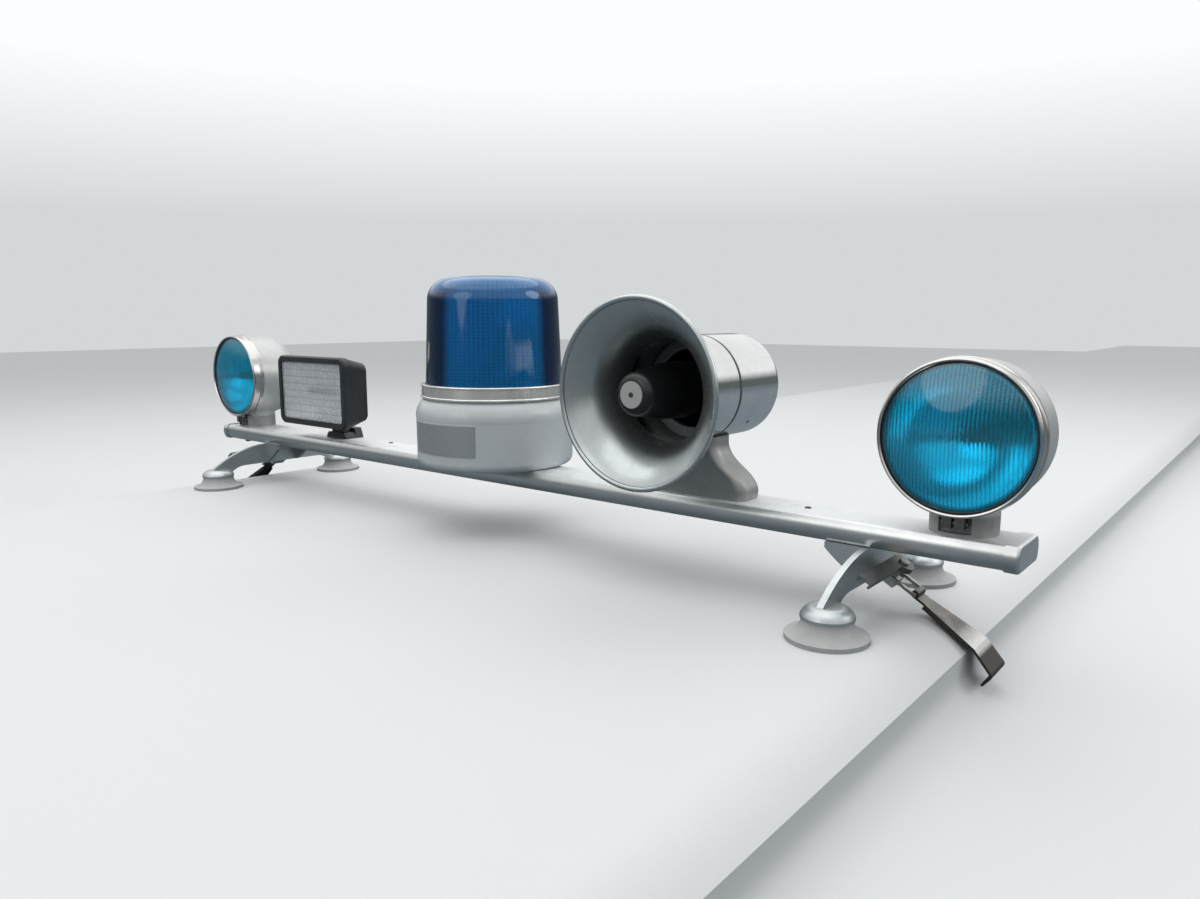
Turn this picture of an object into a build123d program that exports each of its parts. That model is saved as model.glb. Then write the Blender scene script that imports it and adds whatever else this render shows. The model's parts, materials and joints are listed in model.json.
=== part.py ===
from build123d import *
import math
import os

# Emergency roof light bar for a patrol car. Lengths in millimetres.
# X runs along the bar, the lamps face -Y, Z is up.
# The origin is midway between the four rubber feet, on the plane they stand on.
# Left and right are as seen by someone who looks at the lamps, so right is +X.

# Cross bar: an extrusion with a flat top and bottom and bowed front and rear sides
bar_length = 1400.0
bar_flat_width = 58.0
bar_bow = 4.0
bar_height = 24.0
bar_underside = 66.7
bar_edge_radius = 3.5
bar_top = bar_underside + bar_height

# End caps slid over the bar
cap_end_wall = 5.0
cap_proud = 1.4
cap_play = 0.15
cap_skirt = 14.0
cap_end_radius = 3.5

# Feet: rubber cup below, domed metal seat above
foot_from_end = 139.0
foot_x = bar_length / 2 - foot_from_end
foot_y = 119.0
cup_radius = 39.0
cup_lip_height = 4.5
cup_neck_radius = 24.3
cup_height = 20.0
cup_rim_width = 5.5
cup_recess_height = 3.2
dome_radius = 25.2
dome_wall_height = 2.4
dome_top = 31.0

# Cast bracket: a thin web between the two seats, with gussets and a saddle inboard
web_inboard = 2.0
web_x = foot_x - web_inboard
web_thickness = 5.0
web_lower_edge = 33.0
web_shoulder_y = 36.0
web_toe_y = foot_y + 16.0
web_toe_z = 28.0
web_edge_bow = 8.0
web_fillet_start_y = foot_y - dome_radius + 1.0
web_fillet_end_y = web_fillet_start_y - 24.0
edge_bead_width = 1.5
edge_bead_depth = 4.0
gusset_y = 30.5
gusset_thickness = 4.5
gusset_reach = 42.0
saddle_thickness = 4.0

# Clamp: lever, sliding frame and strap hook in one sloping plane.
# In that plane u points outboard and down along the strap, v is +Y, h is square to it.
clamp_outboard = 17.0
clamp_x = foot_x + clamp_outboard
clamp_z = 33.7
strap_slope = 30.5
pivot_u = -2.0
pivot_v = 2.0
pivot_boss_radius = 3.5
pivot_pin_radius = 2.5
pin_play = 0.06
pivot_head_radius = 5.0
pivot_head_height = 1.8
lug_reach = 5.0
lug_half_width = 11.0
lug_bottom = -8.0
lug_top = 0.7
seat_gap = 0.3
eccentric_throw = 7.0
eccentric_pin_radius = 2.5
eccentric_pin_gap = 1.8
lever_bottom = 11.5
lever_depth = 6.0
lever_top = lever_bottom + lever_depth
lever_cam_radius = 11.5
lever_handle_width = 14.0
lever_handle_offset = -4.0
lever_handle_length = 88.0
lever_wall = 2.0
frame_thickness = 3.0
frame_half_width = 14.0
frame_arm = 3.5
frame_inner_bar = 3.0
frame_outer_bar_u = 26.0
frame_outer_bar_radius = 2.0
strap_top_width = 21.0
strap_bend_width = 40.0
strap_end_width = 44.0
strap_thickness = 2.5
strap_flange = 3.0
strap_flange_wall = 2.0
strap_tongue_width = 19.0
strap_tongue_end = 41.0
strap_knuckle_wall = 1.9
strap_knuckle_play = 0.1
strap_bend_u = 98.0
strap_bend_radius = 3.5
strap_drop_x = 18.0
strap_drop_z = 21.5
strap_lip_x = 8.0
strap_lip_z = 10.0

# Rotating beacon
beacon_x = 3.0
beacon_base_radius = 108.0
beacon_base_height = 92.5
beacon_foot_radius = 10.0
beacon_shoulder_height = 64.0
beacon_neck_radius = 96.0
beacon_neck_height = 2.5
band_height = 18.5
band_radius = 100.0
band_bead = 1.6
clasp_angle = 205.0
dome_base_radius = 94.7
dome_shoulder_radius = 89.0
dome_height = 163.5
dome_corner_radius = 30.0
dome_wall = 3.0
dome_crown = 3.0
badge_width = 112.0
badge_height = 40.0
badge_low = 22.0
badge_thickness = 1.0
badge_angle = 272.5
rotor_motor_radius = 34.0
rotor_motor_height = 22.0
rotor_spindle_radius = 6.0
rotor_table_radius = 74.0
rotor_table_thickness = 3.0
rotor_table_gap = 5.0
rotor_lamp_radius = 54.0
rotor_lamp_depth = 34.0
rotor_lamp_back = 12.0
rotor_lamp_wall = 2.0
rotor_lamp_clearance = 4.0
rotor_post_gap = 22.0
rotor_post_width = 4.0
rotor_bridge_height = 16.0
rotor_lens_bulge = 6.0
rotor_lens_thickness = 3.0

# Horn: spun bell, drum behind it, cast pedestal below
horn_x = 342.0
horn_axis_height = 122.0
horn_mouth_y = -129.0
horn_mouth_radius = 102.4
horn_rim_radius = 3.4
horn_wall = 2.0
horn_throat_y = -60.0
horn_neck_length = 3.0
horn_flare_radius = 69.6
horn_flare_y = -98.6
drum_radius = 60.0
drum_lip = 1.5
horn_throat_radius = drum_radius - drum_lip
drum_split_y = -11.0
drum_split_gap = 2.4
drum_split_depth = 4.0
drum_rear_y = 82.0
drum_rear_radius = 12.0
drum_deck = 40.0
drain_radius = 2.2
drain_depth = 5.0
drain_y = 30.0
drain_angle = 41.0
throat_ledge_radius = 44.5
throat_ledge_depth = 4.0
bullet_nose_radius = 23.6
bullet_nose_length = 9.0
bullet_tail_radius = 31.0
nose_disc_radius = 14.1
nose_disc_thickness = 1.6
nose_disc_y = -131.0
pedestal_depth = 44.0
pedestal_corner = 14.0
pedestal_top = 68.0
pedestal_sections = ((0.0, 70.0), (12.0, 71.0), (22.0, 65.0), (36.0, 48.0), (50.0, 35.0), (60.0, 32.0))

# Round lamps: the same lamp twice
lamp_from_end = 60.0
lamp_x = bar_length / 2 - lamp_from_end
lamp_face_y = -40.0
lamp_axis_height = 93.0
lamp_ring_radius = 73.6
lamp_lens_radius = 65.4
lamp_bezel_depth = 20.0
lamp_bezel_wall = 1.6
lamp_bowl_radius = 70.8
lamp_bowl_straight = 42.0
lamp_bowl_depth = 84.0
lamp_bowl_wall = 1.6
lamp_gasket_width = 5.4
lamp_gasket_depth = 5.0
lamp_lens_thickness = 3.0
lamp_lens_bulge = 9.0
lamp_reflector_depth = 44.0
lamp_reflector_wall = 1.4
lamp_bulb_radius = 11.0
lamp_bulb_length = 26.0
lamp_pedestal_radius = 31.5
lamp_pedestal_y = 3.0
lamp_clip_width = 20.0
lamp_clip_height = 11.0
lamp_clip_room = 5.0

# Work lamp: rectangular, on a knuckle foot
work_from_end = 317.0
work_x = work_from_end - bar_length / 2
work_width = 187.0
work_height = 112.0
work_face_y = -45.5
work_depth = 50.0
work_bottom = 23.5
work_corner = 13.0
work_wall = 2.6
work_bezel_depth = 13.0
work_bezel_lip = 8.5
work_back_inset = 9.0
work_lens_thickness = 3.0
work_lens_setback = 3.0
work_reflector_wall = 1.4
work_reflector_depth = 30.0
work_bulb_radius = 8.0
work_foot_x = work_x + 9.0
work_foot_y = 11.0
work_foot_length = 56.0
work_foot_top_length = 44.0
work_foot_width = 34.0
work_foot_height = 9.0
work_heel_height = 16.0
work_heel_depth = 13.0
knuckle_forward = 9.0
knuckle_y = work_foot_y - knuckle_forward
work_stud_radius = 4.0
work_stud_height = 4.0
knuckle_axis_height = 13.5
knuckle_radius = 7.0
knuckle_bolt_radius = 3.0
knuckle_tongue = 12.0
knuckle_ear = 6.0
knuckle_side_play = 0.3
foot_play = 0.3

# Cable gland under the bar at its left end
gland_from_end = 28.0
gland_x = gland_from_end - bar_length / 2
gland_radius = 6.0
gland_height = 9.0

# Cutters reach this far past what they cut
beyond = 400.0

sides = {"left": -1, "right": 1}
ends = {"front": -1, "rear": 1}


def outline(start, *steps):
    """Closed flat face. A point draws a line to it, a pair an arc through the first to the second."""
    edges = []
    here = start
    for step in steps:
        if isinstance(step[0], tuple):
            edges.append(ThreePointArc(here, step[0], step[1]))
            here = step[1]
        else:
            edges.append(Line(here, step))
            here = step
    if here != start:
        edges.append(Line(here, start))
    return make_face(edges)


def spun(start, *steps):
    """Solid of revolution about Z of an outline of (radius, height) points."""
    return revolve(Plane.XZ * outline(start, *steps), Axis.Z)


def crown(radius, low, rise):
    """Point half-way along a spherical cap of this rim radius, rim height and rise."""
    sphere = (radius ** 2 + rise ** 2) / (2 * rise)
    centre = low + rise - sphere
    return radius / 2, centre + math.sqrt(sphere ** 2 - (radius / 2) ** 2)


def facing_forward(shape, x, y, z):
    """Turn a solid that points up so that it points to the front, with its foot at x, y, z."""
    return Pos(x, y, z) * Rot(90, 0, 0) * shape


def rod(radius, low, high, x=0.0, y=0.0):
    """Upright round bar from low to high."""
    return Pos(x, y, low) * Cylinder(radius, high - low, align=(Align.CENTER, Align.CENTER, Align.MIN))


def block(low, high):
    """Box between two corners."""
    size = [high[axis] - low[axis] for axis in range(3)]
    return Pos(*low) * Box(*size, align=(Align.MIN, Align.MIN, Align.MIN))


def on_side(shape, side):
    """Right-hand shape as drawn, or its mirror image for the left."""
    if side > 0:
        return shape
    return mirror(shape, Plane.YZ)


def one_solid(shape):
    """The largest solid of a shape, which drops stray slivers."""
    return max(shape.solids(), key=lambda solid: solid.volume)


def bar_section(grow):
    """Section of the bar in its YZ plane, grown outwards all round."""
    half = bar_flat_width / 2
    low = bar_underside - grow
    high = bar_top + grow
    middle = (low + high) / 2
    face = outline(
        (-half, low),
        (half, low),
        ((half + bar_bow + grow, middle), (half, high)),
        (-half, high),
        ((-half - bar_bow - grow, middle), (-half, low)),
    )
    return Plane.YZ * face


def make_cross_bar():
    half = bar_length / 2 - cap_end_wall
    bar = extrude(bar_section(0.0), half, both=True)
    long_edges = bar.edges().filter_by(Axis.X)
    return fillet(long_edges, bar_edge_radius)


def make_end_cap():
    """Cap for the right end: a skirt round the bar and a closed end with a rounded edge."""
    outer = Pos(bar_length / 2 - cap_skirt, 0, 0) * extrude(bar_section(cap_proud), cap_skirt)
    outer = fillet(outer.edges().filter_by(Axis.X), bar_edge_radius)
    outer = fillet(outer.faces().sort_by(Axis.X)[-1].edges(), cap_end_radius)
    hollow = Pos(bar_length / 2 - cap_skirt, 0, 0) * extrude(bar_section(cap_play), cap_skirt - cap_end_wall)
    return outer - hollow


def make_cup(x, y):
    """Rubber foot: a wide lip, a waisted neck and a shallow hollow below."""
    rim = cup_radius - cup_rim_width
    cup = spun(
        (0, cup_recess_height),
        (rim - 3, cup_recess_height),
        (rim, 0),
        (cup_radius, 0),
        (cup_radius, cup_lip_height),
        ((cup_neck_radius + 4.4, cup_height * 0.42), (cup_neck_radius, cup_height * 0.84)),
        (cup_neck_radius, cup_height),
        (0, cup_height),
    )
    return Pos(x, y, 0) * cup


def make_seat_dome():
    """Domed seat above one cup, at the origin."""
    wall_top = cup_height + dome_wall_height
    return spun(
        (0, cup_height),
        (dome_radius, cup_height),
        (dome_radius, wall_top),
        ((dome_radius * 0.84, dome_top - 2.6), (dome_radius * 0.4, dome_top)),
        (0, dome_top),
    )


def web_edge_middle():
    """Middle of the bowed upper edge that runs from the bar down to the front toe, in Y and Z."""
    run = web_toe_y - web_shoulder_y
    fall = bar_underside - web_toe_z
    length = math.hypot(run, fall)
    return (-(web_shoulder_y + run / 2) - web_edge_bow * fall / length,
            bar_underside - fall / 2 + web_edge_bow * run / length)


def web_outline():
    """Side view of the bracket web in Y and Z."""
    toe_inside = cup_height + dome_wall_height * 0.5
    fillet_low = dome_top - 6
    fillet_mid_y = (web_fillet_start_y + web_fillet_end_y) / 2 + 2
    edge_y, edge_z = web_edge_middle()
    return outline(
        (-web_shoulder_y, bar_underside),
        ((edge_y, edge_z), (-web_toe_y, web_toe_z)),
        (-web_toe_y, toe_inside),
        (-web_fillet_start_y, toe_inside),
        (-web_fillet_start_y, fillet_low),
        ((-fillet_mid_y, web_lower_edge - 2.4), (-web_fillet_end_y, web_lower_edge)),
        (web_fillet_end_y, web_lower_edge),
        ((fillet_mid_y, web_lower_edge - 2.4), (web_fillet_start_y, fillet_low)),
        (web_fillet_start_y, toe_inside),
        (web_toe_y, toe_inside),
        (web_toe_y, web_toe_z),
        ((-edge_y, edge_z), (web_shoulder_y, bar_underside)),
    )


def clamp_plane():
    """Plane of the right-hand strap: x is u, y is v and z is h."""
    slope = math.radians(strap_slope)
    return Plane(origin=(clamp_x, 0, clamp_z), x_dir=(math.cos(slope), 0, -math.sin(slope)),
                 z_dir=(math.sin(slope), 0, math.cos(slope)))


def make_bracket():
    """Right-hand bracket casting, with the two seats, the clamp lug and its pivot pin."""
    web_inner = web_x - web_thickness / 2
    web = extrude(Pos(web_inner, 0, 0) * (Plane.YZ * web_outline()), web_thickness)
    casting = web
    edge_y, edge_z = web_edge_middle()
    for end in ends.values():
        casting += Pos(foot_x, end * foot_y, 0) * make_seat_dome()
        bead = outline(
            (end * web_shoulder_y, bar_underside),
            ((-end * edge_y, edge_z), (end * web_toe_y, web_toe_z)),
            (end * web_toe_y, web_toe_z - edge_bead_depth),
            ((-end * edge_y, edge_z - edge_bead_depth),
             (end * web_shoulder_y, bar_underside - edge_bead_depth)),
        )
        bead = extrude(Plane.YZ * bead, edge_bead_width + web_thickness)
        casting += Pos(web_inner - edge_bead_width, 0, 0) * bead
        gusset = outline(
            (web_x, web_lower_edge),
            (web_x, bar_underside),
            (web_inner - gusset_reach + 1, bar_underside),
            (web_inner - gusset_reach + 1, bar_underside - 6),
            ((web_inner - gusset_reach * 0.62, bar_underside - 19), (web_inner - 2, web_lower_edge)),
        )
        gusset = extrude(Plane.XZ * gusset, gusset_thickness / 2, both=True)
        casting += Pos(0, end * gusset_y, 0) * gusset
    saddle_end = gusset_y + gusset_thickness / 2
    casting += block((web_inner - gusset_reach + 1, -saddle_end, bar_underside - saddle_thickness),
                     (web_x + web_thickness / 2, saddle_end, bar_underside))
    plane = clamp_plane()
    lug = block((pivot_u - 18, pivot_v - lug_half_width, lug_bottom),
                (pivot_u + lug_reach + 2, pivot_v + lug_half_width, lug_top))
    lug += rod(pivot_boss_radius, lug_top - 1, lever_bottom - seat_gap, pivot_u, pivot_v)
    lug += rod(pivot_pin_radius, lug_top, lever_top + seat_gap + 1, pivot_u, pivot_v)
    head_low = lever_top + seat_gap
    lug += rod(pivot_head_radius, head_low, head_low + pivot_head_height, pivot_u, pivot_v)
    casting += plane * lug
    above_bar = block((0, -beyond, bar_underside), (bar_length, beyond, bar_top))
    return one_solid(casting - above_bar)


def make_clamp_lever():
    """Lever in the clamp plane: a cam disc on the pivot, an off-centre pin below and a channel handle."""
    handle_low = pivot_u + lever_handle_offset - lever_handle_width / 2
    handle_high = handle_low + lever_handle_width
    cam = rod(lever_cam_radius, lever_bottom, lever_top, pivot_u, pivot_v)
    handle = block((handle_low, pivot_v - lever_handle_length, lever_bottom),
                   (handle_high, pivot_v, lever_top))
    channel = block((handle_low + lever_wall, pivot_v - lever_handle_length - 1, lever_bottom - 1),
                    (handle_high - lever_wall, pivot_v - lever_cam_radius - 2, lever_top - lever_wall))
    lever = cam + (handle - channel)
    lever += rod(eccentric_pin_radius, lug_top + seat_gap + 0.4, lever_bottom + 1,
                 pivot_u - eccentric_throw, pivot_v)
    lever -= rod(pivot_pin_radius + pin_play, lever_bottom - 1, lever_top + 1, pivot_u, pivot_v)
    return clamp_plane() * lever


def frame_low():
    return lug_top + seat_gap


def frame_inner_face():
    return pivot_u - eccentric_throw - eccentric_pin_radius - eccentric_pin_gap


def make_clamp_frame():
    """Flat rectangular frame: the lever's pin pulls its inboard bar, the strap hangs on its outboard bar."""
    low = frame_low()
    high = low + frame_thickness
    inner = frame_inner_face()
    outer = block((inner - frame_inner_bar, -frame_half_width, low),
                  (frame_outer_bar_u + frame_outer_bar_radius, frame_half_width, high))
    opening = block((inner, -frame_half_width + frame_arm, low - 1),
                    (frame_outer_bar_u + 2 * frame_outer_bar_radius, frame_half_width - frame_arm, high + 1))
    bar = Cylinder(frame_outer_bar_radius, 2 * frame_half_width - frame_arm, rotation=(90, 0, 0))
    bar = Pos(frame_outer_bar_u, 0, (low + high) / 2) * bar
    return clamp_plane() * (outer - opening + bar)


def strap_plan(inset):
    """Plan of the strap in its own plane, widening from the tongue to the bend and on to the lip."""
    start = strap_tongue_end - 2
    last = strap_bend_u + strap_drop_x + strap_drop_z
    top = strap_top_width / 2 - inset
    bend = strap_bend_width / 2 - inset
    end = strap_end_width / 2 - inset
    return outline(
        (start, -top),
        (strap_bend_u, -bend),
        (last, -end),
        (last, end),
        (strap_bend_u, bend),
        (start, top),
    )


def make_strap_hook():
    """Sheet-steel strap: a rolled knuckle, a flanged run that widens, a drop and an inturned lip."""
    bar_h = frame_low() + frame_thickness / 2
    knuckle_inner = frame_outer_bar_radius + strap_knuckle_play
    knuckle_outer = knuckle_inner + strap_knuckle_wall
    strap_low = bar_h - knuckle_outer
    slope = math.radians(strap_slope)
    # the drop and the lip are level measures, so they are turned into the strap's plane
    drop = (strap_drop_x * math.cos(slope) + strap_drop_z * math.sin(slope),
            strap_drop_x * math.sin(slope) - strap_drop_z * math.cos(slope))
    lip = (-strap_lip_x * math.cos(slope) + strap_lip_z * math.sin(slope),
           -strap_lip_x * math.sin(slope) - strap_lip_z * math.cos(slope))
    middle = strap_low + strap_thickness / 2
    bend = (strap_bend_u, middle)
    corner = (bend[0] + drop[0], bend[1] + drop[1])
    tip = (corner[0] + lip[0], corner[1] + lip[1])
    path = FilletPolyline((strap_tongue_end - 2, middle), bend, corner, tip, radius=strap_bend_radius)
    side_view = offset(path, strap_thickness / 2, side=Side.BOTH)
    side_view = make_face(side_view.edges())
    strap = extrude(Plane.XZ * side_view, strap_end_width / 2, both=True)
    strap &= extrude(strap_plan(0.0), beyond, both=True)
    flanges = extrude(strap_plan(0.0), strap_flange) - extrude(strap_plan(strap_flange_wall), strap_flange)
    flanges_end = strap_bend_u - 2 * strap_bend_radius
    flanges &= block((0, -strap_end_width, 0), (flanges_end, strap_end_width, strap_flange))
    strap += Pos(0, 0, strap_low - strap_flange) * flanges
    tongue_half = strap_tongue_width / 2
    tongue = block((frame_outer_bar_u, -tongue_half, strap_low),
                   (strap_tongue_end, tongue_half, strap_low + strap_thickness))
    knuckle = Cylinder(knuckle_outer, strap_tongue_width, rotation=(90, 0, 0))
    knuckle = Pos(frame_outer_bar_u, 0, bar_h) * knuckle
    bore = Pos(frame_outer_bar_u, 0, bar_h) * Cylinder(knuckle_inner, strap_end_width, rotation=(90, 0, 0))
    return clamp_plane() * (strap + tongue + knuckle - bore)


def make_beacon_base():
    """Cast base: rounded foot, straight wall, a soft shoulder and a short neck under the band."""
    wall = beacon_base_radius
    foot = beacon_foot_radius
    shoulder = beacon_shoulder_height
    neck_low = beacon_base_height - beacon_neck_height
    base = spun(
        (0, 0),
        (wall - foot, 0),
        ((wall - foot * 0.3, foot * 0.3), (wall, foot)),
        (wall, shoulder),
        ((wall - 2.6, shoulder + 17), (beacon_neck_radius + 2.5, neck_low)),
        (beacon_neck_radius, neck_low),
        (beacon_neck_radius, beacon_base_height),
        (0, beacon_base_height),
    )
    return Pos(beacon_x, 0, bar_top) * base


def make_beacon_badge():
    """Blank curved plate on the base wall."""
    inner = beacon_base_radius + cap_play
    half_angle = math.degrees(badge_width / 2 / inner)
    ring = rod(inner + badge_thickness, badge_low, badge_low + badge_height)
    ring -= rod(inner, badge_low - 1, badge_low + badge_height + 1)
    reach = 2 * inner
    wedge = outline(
        (0, 0),
        (reach * math.cos(math.radians(half_angle)), -reach * math.sin(math.radians(half_angle))),
        (reach * math.cos(math.radians(half_angle)), reach * math.sin(math.radians(half_angle))),
    )
    wedge = Pos(0, 0, badge_low) * extrude(wedge, badge_height)
    plate = Rot(0, 0, badge_angle) * (ring & wedge)
    return Pos(beacon_x, 0, bar_top) * plate


def make_beacon_band():
    """Polished clamp band with a rolled edge top and bottom, and its clasp."""
    inner = dome_base_radius + seat_gap
    low = beacon_base_height
    high = low + band_height
    outer = band_radius
    bead = band_bead
    band = spun(
        (inner, low),
        (outer, low),
        ((outer + bead * 0.7, low + bead * 0.7), (outer, low + 2 * bead)),
        (outer - 0.6, high - 2 * bead),
        ((outer + bead * 0.5, high - bead * 0.7), (outer, high)),
        (inner, high),
    )
    clasp = block((outer - 4, -9, low + 2), (outer + 5, 9, high - 2))
    clasp = fillet(clasp.edges().filter_by(Axis.Z).sort_by(Axis.X)[-2:], 2.0)
    band += Rot(0, 0, clasp_angle) * clasp
    band -= rod(inner, low - 1, high + 1)
    return Pos(beacon_x, 0, bar_top) * band


def dome_outline_points(inset):
    """Radius and height of the dome's corner points, drawn in by a wall."""
    low = beacon_base_height
    high = low + dome_height - inset
    base = dome_base_radius - inset
    shoulder = dome_shoulder_radius - inset
    corner = dome_corner_radius - inset
    return low, high, base, shoulder, corner


def make_beacon_dome():
    """Dome shell, drawn in slightly towards a large rounded top corner."""
    low, high, base, shoulder, corner = dome_outline_points(0.0)
    _, high_in, base_in, shoulder_in, corner_in = dome_outline_points(dome_wall)
    give = 1 - math.sqrt(0.5)
    rim = high - dome_crown
    rim_in = high_in - dome_crown
    dome = spun(
        (base_in, low),
        (base, low),
        (shoulder, rim - corner),
        ((shoulder - corner * give, rim - corner * give), (shoulder - corner, rim)),
        (crown(shoulder - corner, rim, dome_crown), (0, high)),
        (0, high_in),
        (crown(shoulder_in - corner_in, rim_in, dome_crown), (shoulder_in - corner_in, rim_in)),
        ((shoulder_in - corner_in * give, rim_in - corner_in * give), (shoulder_in, rim_in - corner_in)),
    )
    return Pos(beacon_x, 0, bar_top) * dome


def make_beacon_motor():
    """Motor housing on the base deck, with the fixed spindle on top."""
    low = beacon_base_height
    high = low + rotor_motor_height
    motor = spun(
        (0, low),
        (rotor_motor_radius, low),
        (rotor_motor_radius, high - 4),
        (rotor_motor_radius - 4, high),
        (rotor_spindle_radius, high),
        (rotor_spindle_radius, rotor_table_top() + 12),
        (0, rotor_table_top() + 12),
    )
    return Pos(beacon_x, 0, bar_top) * motor


def rotor_table_low():
    return beacon_base_height + rotor_motor_height + rotor_table_gap


def rotor_table_top():
    return rotor_table_low() + rotor_table_thickness


def make_beacon_turntable():
    """Turntable disc with its hub on the spindle and a cradle between the two lamps."""
    low = rotor_table_low()
    top = rotor_table_top()
    hub = rotor_spindle_radius + 4
    table = rod(rotor_table_radius, low, top)
    table += rod(hub, low - rotor_table_gap + seat_gap, top + 14)
    lamp_axis = top + rotor_lamp_clearance + rotor_lamp_radius
    half = rotor_lamp_back - seat_gap
    for side in sides.values():
        near = side * rotor_post_gap / 2
        far = side * (rotor_post_gap / 2 + rotor_post_width)
        table += block((min(near, far), -half, top - 1), (max(near, far), half, lamp_axis))
    reach = rotor_post_gap / 2 + rotor_post_width
    bridge = rotor_bridge_height / 2
    table += block((-reach, -half, lamp_axis - bridge), (reach, half, lamp_axis + bridge))
    table -= rod(rotor_spindle_radius + pin_play, low - rotor_table_gap - 1, top + 15)
    return Pos(beacon_x, 0, bar_top) * table


def rotor_lamp_axis_height():
    return bar_top + rotor_table_top() + rotor_lamp_clearance + rotor_lamp_radius


def make_rotor_lamp_bowl(side):
    """One lamp of the back-to-back pair: a dished silvered bowl."""
    wall = rotor_lamp_wall
    rim = rotor_lamp_radius
    depth = rotor_lamp_depth
    bowl = spun(
        (0, 0),
        (18, 0),
        ((rim * 0.78, depth * 0.42), (rim, depth - 5)),
        (rim, depth),
        (rim - wall, depth),
        (rim - wall, depth - 5),
        ((rim * 0.78 - wall, depth * 0.42 + wall), (17, wall)),
        (0, wall),
    )
    placed = facing_forward(bowl, beacon_x, -rotor_lamp_back, rotor_lamp_axis_height())
    if side > 0:
        return placed
    return mirror(placed, Plane.XZ)


def make_rotor_lamp_lens(side):
    """Bulged clear lens that closes one rotating lamp."""
    rim = rotor_lamp_radius - rotor_lamp_wall - cap_play
    low = rotor_lamp_depth - 4
    bulge = rotor_lens_bulge
    thick = rotor_lens_thickness
    lens = spun(
        (0, low + bulge),
        (crown(rim, low, bulge), (rim, low)),
        (rim, low + thick),
        (crown(rim, low + thick, bulge), (0, low + thick + bulge)),
    )
    placed = facing_forward(lens, beacon_x, -rotor_lamp_back, rotor_lamp_axis_height())
    if side > 0:
        return placed
    return mirror(placed, Plane.XZ)


def make_horn_bell():
    """Spun bell with a rolled rim, seated on the front drum. Heights run forward from the bar's middle."""
    mouth = -horn_mouth_y
    flare = -horn_flare_y
    throat = -horn_throat_y
    neck = throat + horn_neck_length
    inside = horn_throat_radius - horn_wall
    roll = horn_rim_radius
    rim = horn_mouth_radius - 2 * roll
    bell = spun(
        (inside, throat),
        (horn_throat_radius, throat),
        (horn_throat_radius, neck),
        ((horn_flare_radius, flare), (rim + roll * 0.6, mouth - roll * 1.4)),
        ((horn_mouth_radius, mouth - roll), (rim + roll, mouth)),
        ((rim + roll * 0.5, mouth - roll * 0.25), (rim + roll * 0.25, mouth - roll * 0.9)),
        ((horn_flare_radius - horn_wall * 0.83, flare + horn_wall * 0.56), (inside, neck)),
    )
    return facing_forward(bell, horn_x, 0, bar_top + horn_axis_height)


def drum_floor():
    """Height of the throat's floor in front of the bar's middle."""
    return -horn_throat_y - drum_deck - throat_ledge_depth


def make_horn_bullet():
    """Black reflex bullet on the axis: a domed nose on a body that widens a little towards the throat."""
    nose = -nose_disc_y - nose_disc_thickness
    shoulder = nose - bullet_nose_length
    tail = drum_floor()
    bullet = spun(
        (0, tail),
        (bullet_tail_radius, tail),
        (((bullet_nose_radius + bullet_tail_radius) / 2 + 2.4, (shoulder + tail) / 2 + 8),
         (bullet_nose_radius, shoulder)),
        ((bullet_nose_radius - 2.8, nose - 2.8), (nose_disc_radius, nose)),
        (0, nose),
    )
    return facing_forward(bullet, horn_x, 0, bar_top + horn_axis_height)


def make_horn_nose_disc():
    """Light disc that closes the bullet's nose."""
    nose = -nose_disc_y - nose_disc_thickness
    disc = rod(nose_disc_radius, nose, nose + nose_disc_thickness)
    return facing_forward(disc, horn_x, 0, bar_top + horn_axis_height)


def make_drum_front():
    """Front drum: a deep ring round the throat, with a stepped floor that carries the bullet."""
    front = -horn_throat_y
    back = -drum_split_y + drum_split_gap / 2
    deck = front - drum_deck
    inside = horn_throat_radius - horn_wall
    seat = horn_throat_radius + cap_play
    drum = spun(
        (0, back),
        (drum_radius - 1, back),
        (drum_radius, back + 1),
        (drum_radius, front + horn_neck_length - 1),
        (drum_radius - 0.7, front + horn_neck_length),
        (seat, front + horn_neck_length),
        (seat, front),
        (inside, front),
        (inside, deck),
        (throat_ledge_radius, deck),
        (throat_ledge_radius, drum_floor()),
        (0, drum_floor()),
    )
    return facing_forward(drum, horn_x, 0, bar_top + horn_axis_height)


def make_drum_rear():
    """Rear drum with a turned step at the split, a rounded rear edge and a drain hole low on its right."""
    front = -drum_split_y - drum_split_gap / 2
    back = -drum_rear_y
    round_off = drum_rear_radius
    give = round_off * (1 - math.sqrt(0.5))
    drum = spun(
        (0, back),
        (drum_radius - round_off, back),
        ((drum_radius - give, back + give), (drum_radius, back + round_off)),
        (drum_radius, front - 1),
        (drum_radius - 1, front),
        (drum_radius - drum_split_depth, front),
        (drum_radius - drum_split_depth, front + drum_split_gap),
        (0, front + drum_split_gap),
    )
    drain = Cylinder(drain_radius, 2 * drain_depth, rotation=(0, 90, 0),
                     align=(Align.CENTER, Align.CENTER, Align.MIN))
    drain = Pos(drum_radius - drain_depth, 0, -drain_y) * drain
    drum -= Rot(0, 0, -drain_angle) * drain
    return facing_forward(drum, horn_x, 0, bar_top + horn_axis_height)


def make_horn_pedestal():
    """Cast pedestal: a low lip on the bar that sweeps in to a neck and is saddled to the drum."""
    faces = []
    for height, half in pedestal_sections:
        faces.append(Plane.XY.offset(height) * RectangleRounded(2 * half, pedestal_depth, pedestal_corner))
    neck_low = pedestal_sections[-1][0]
    pedestal = loft(faces) + extrude(faces[-1], pedestal_top - neck_low)
    drum = Pos(0, 0, horn_axis_height) * Cylinder(drum_radius + cap_play, beyond, rotation=(90, 0, 0))
    return Pos(horn_x, 0, bar_top) * one_solid(pedestal - drum)


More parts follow.
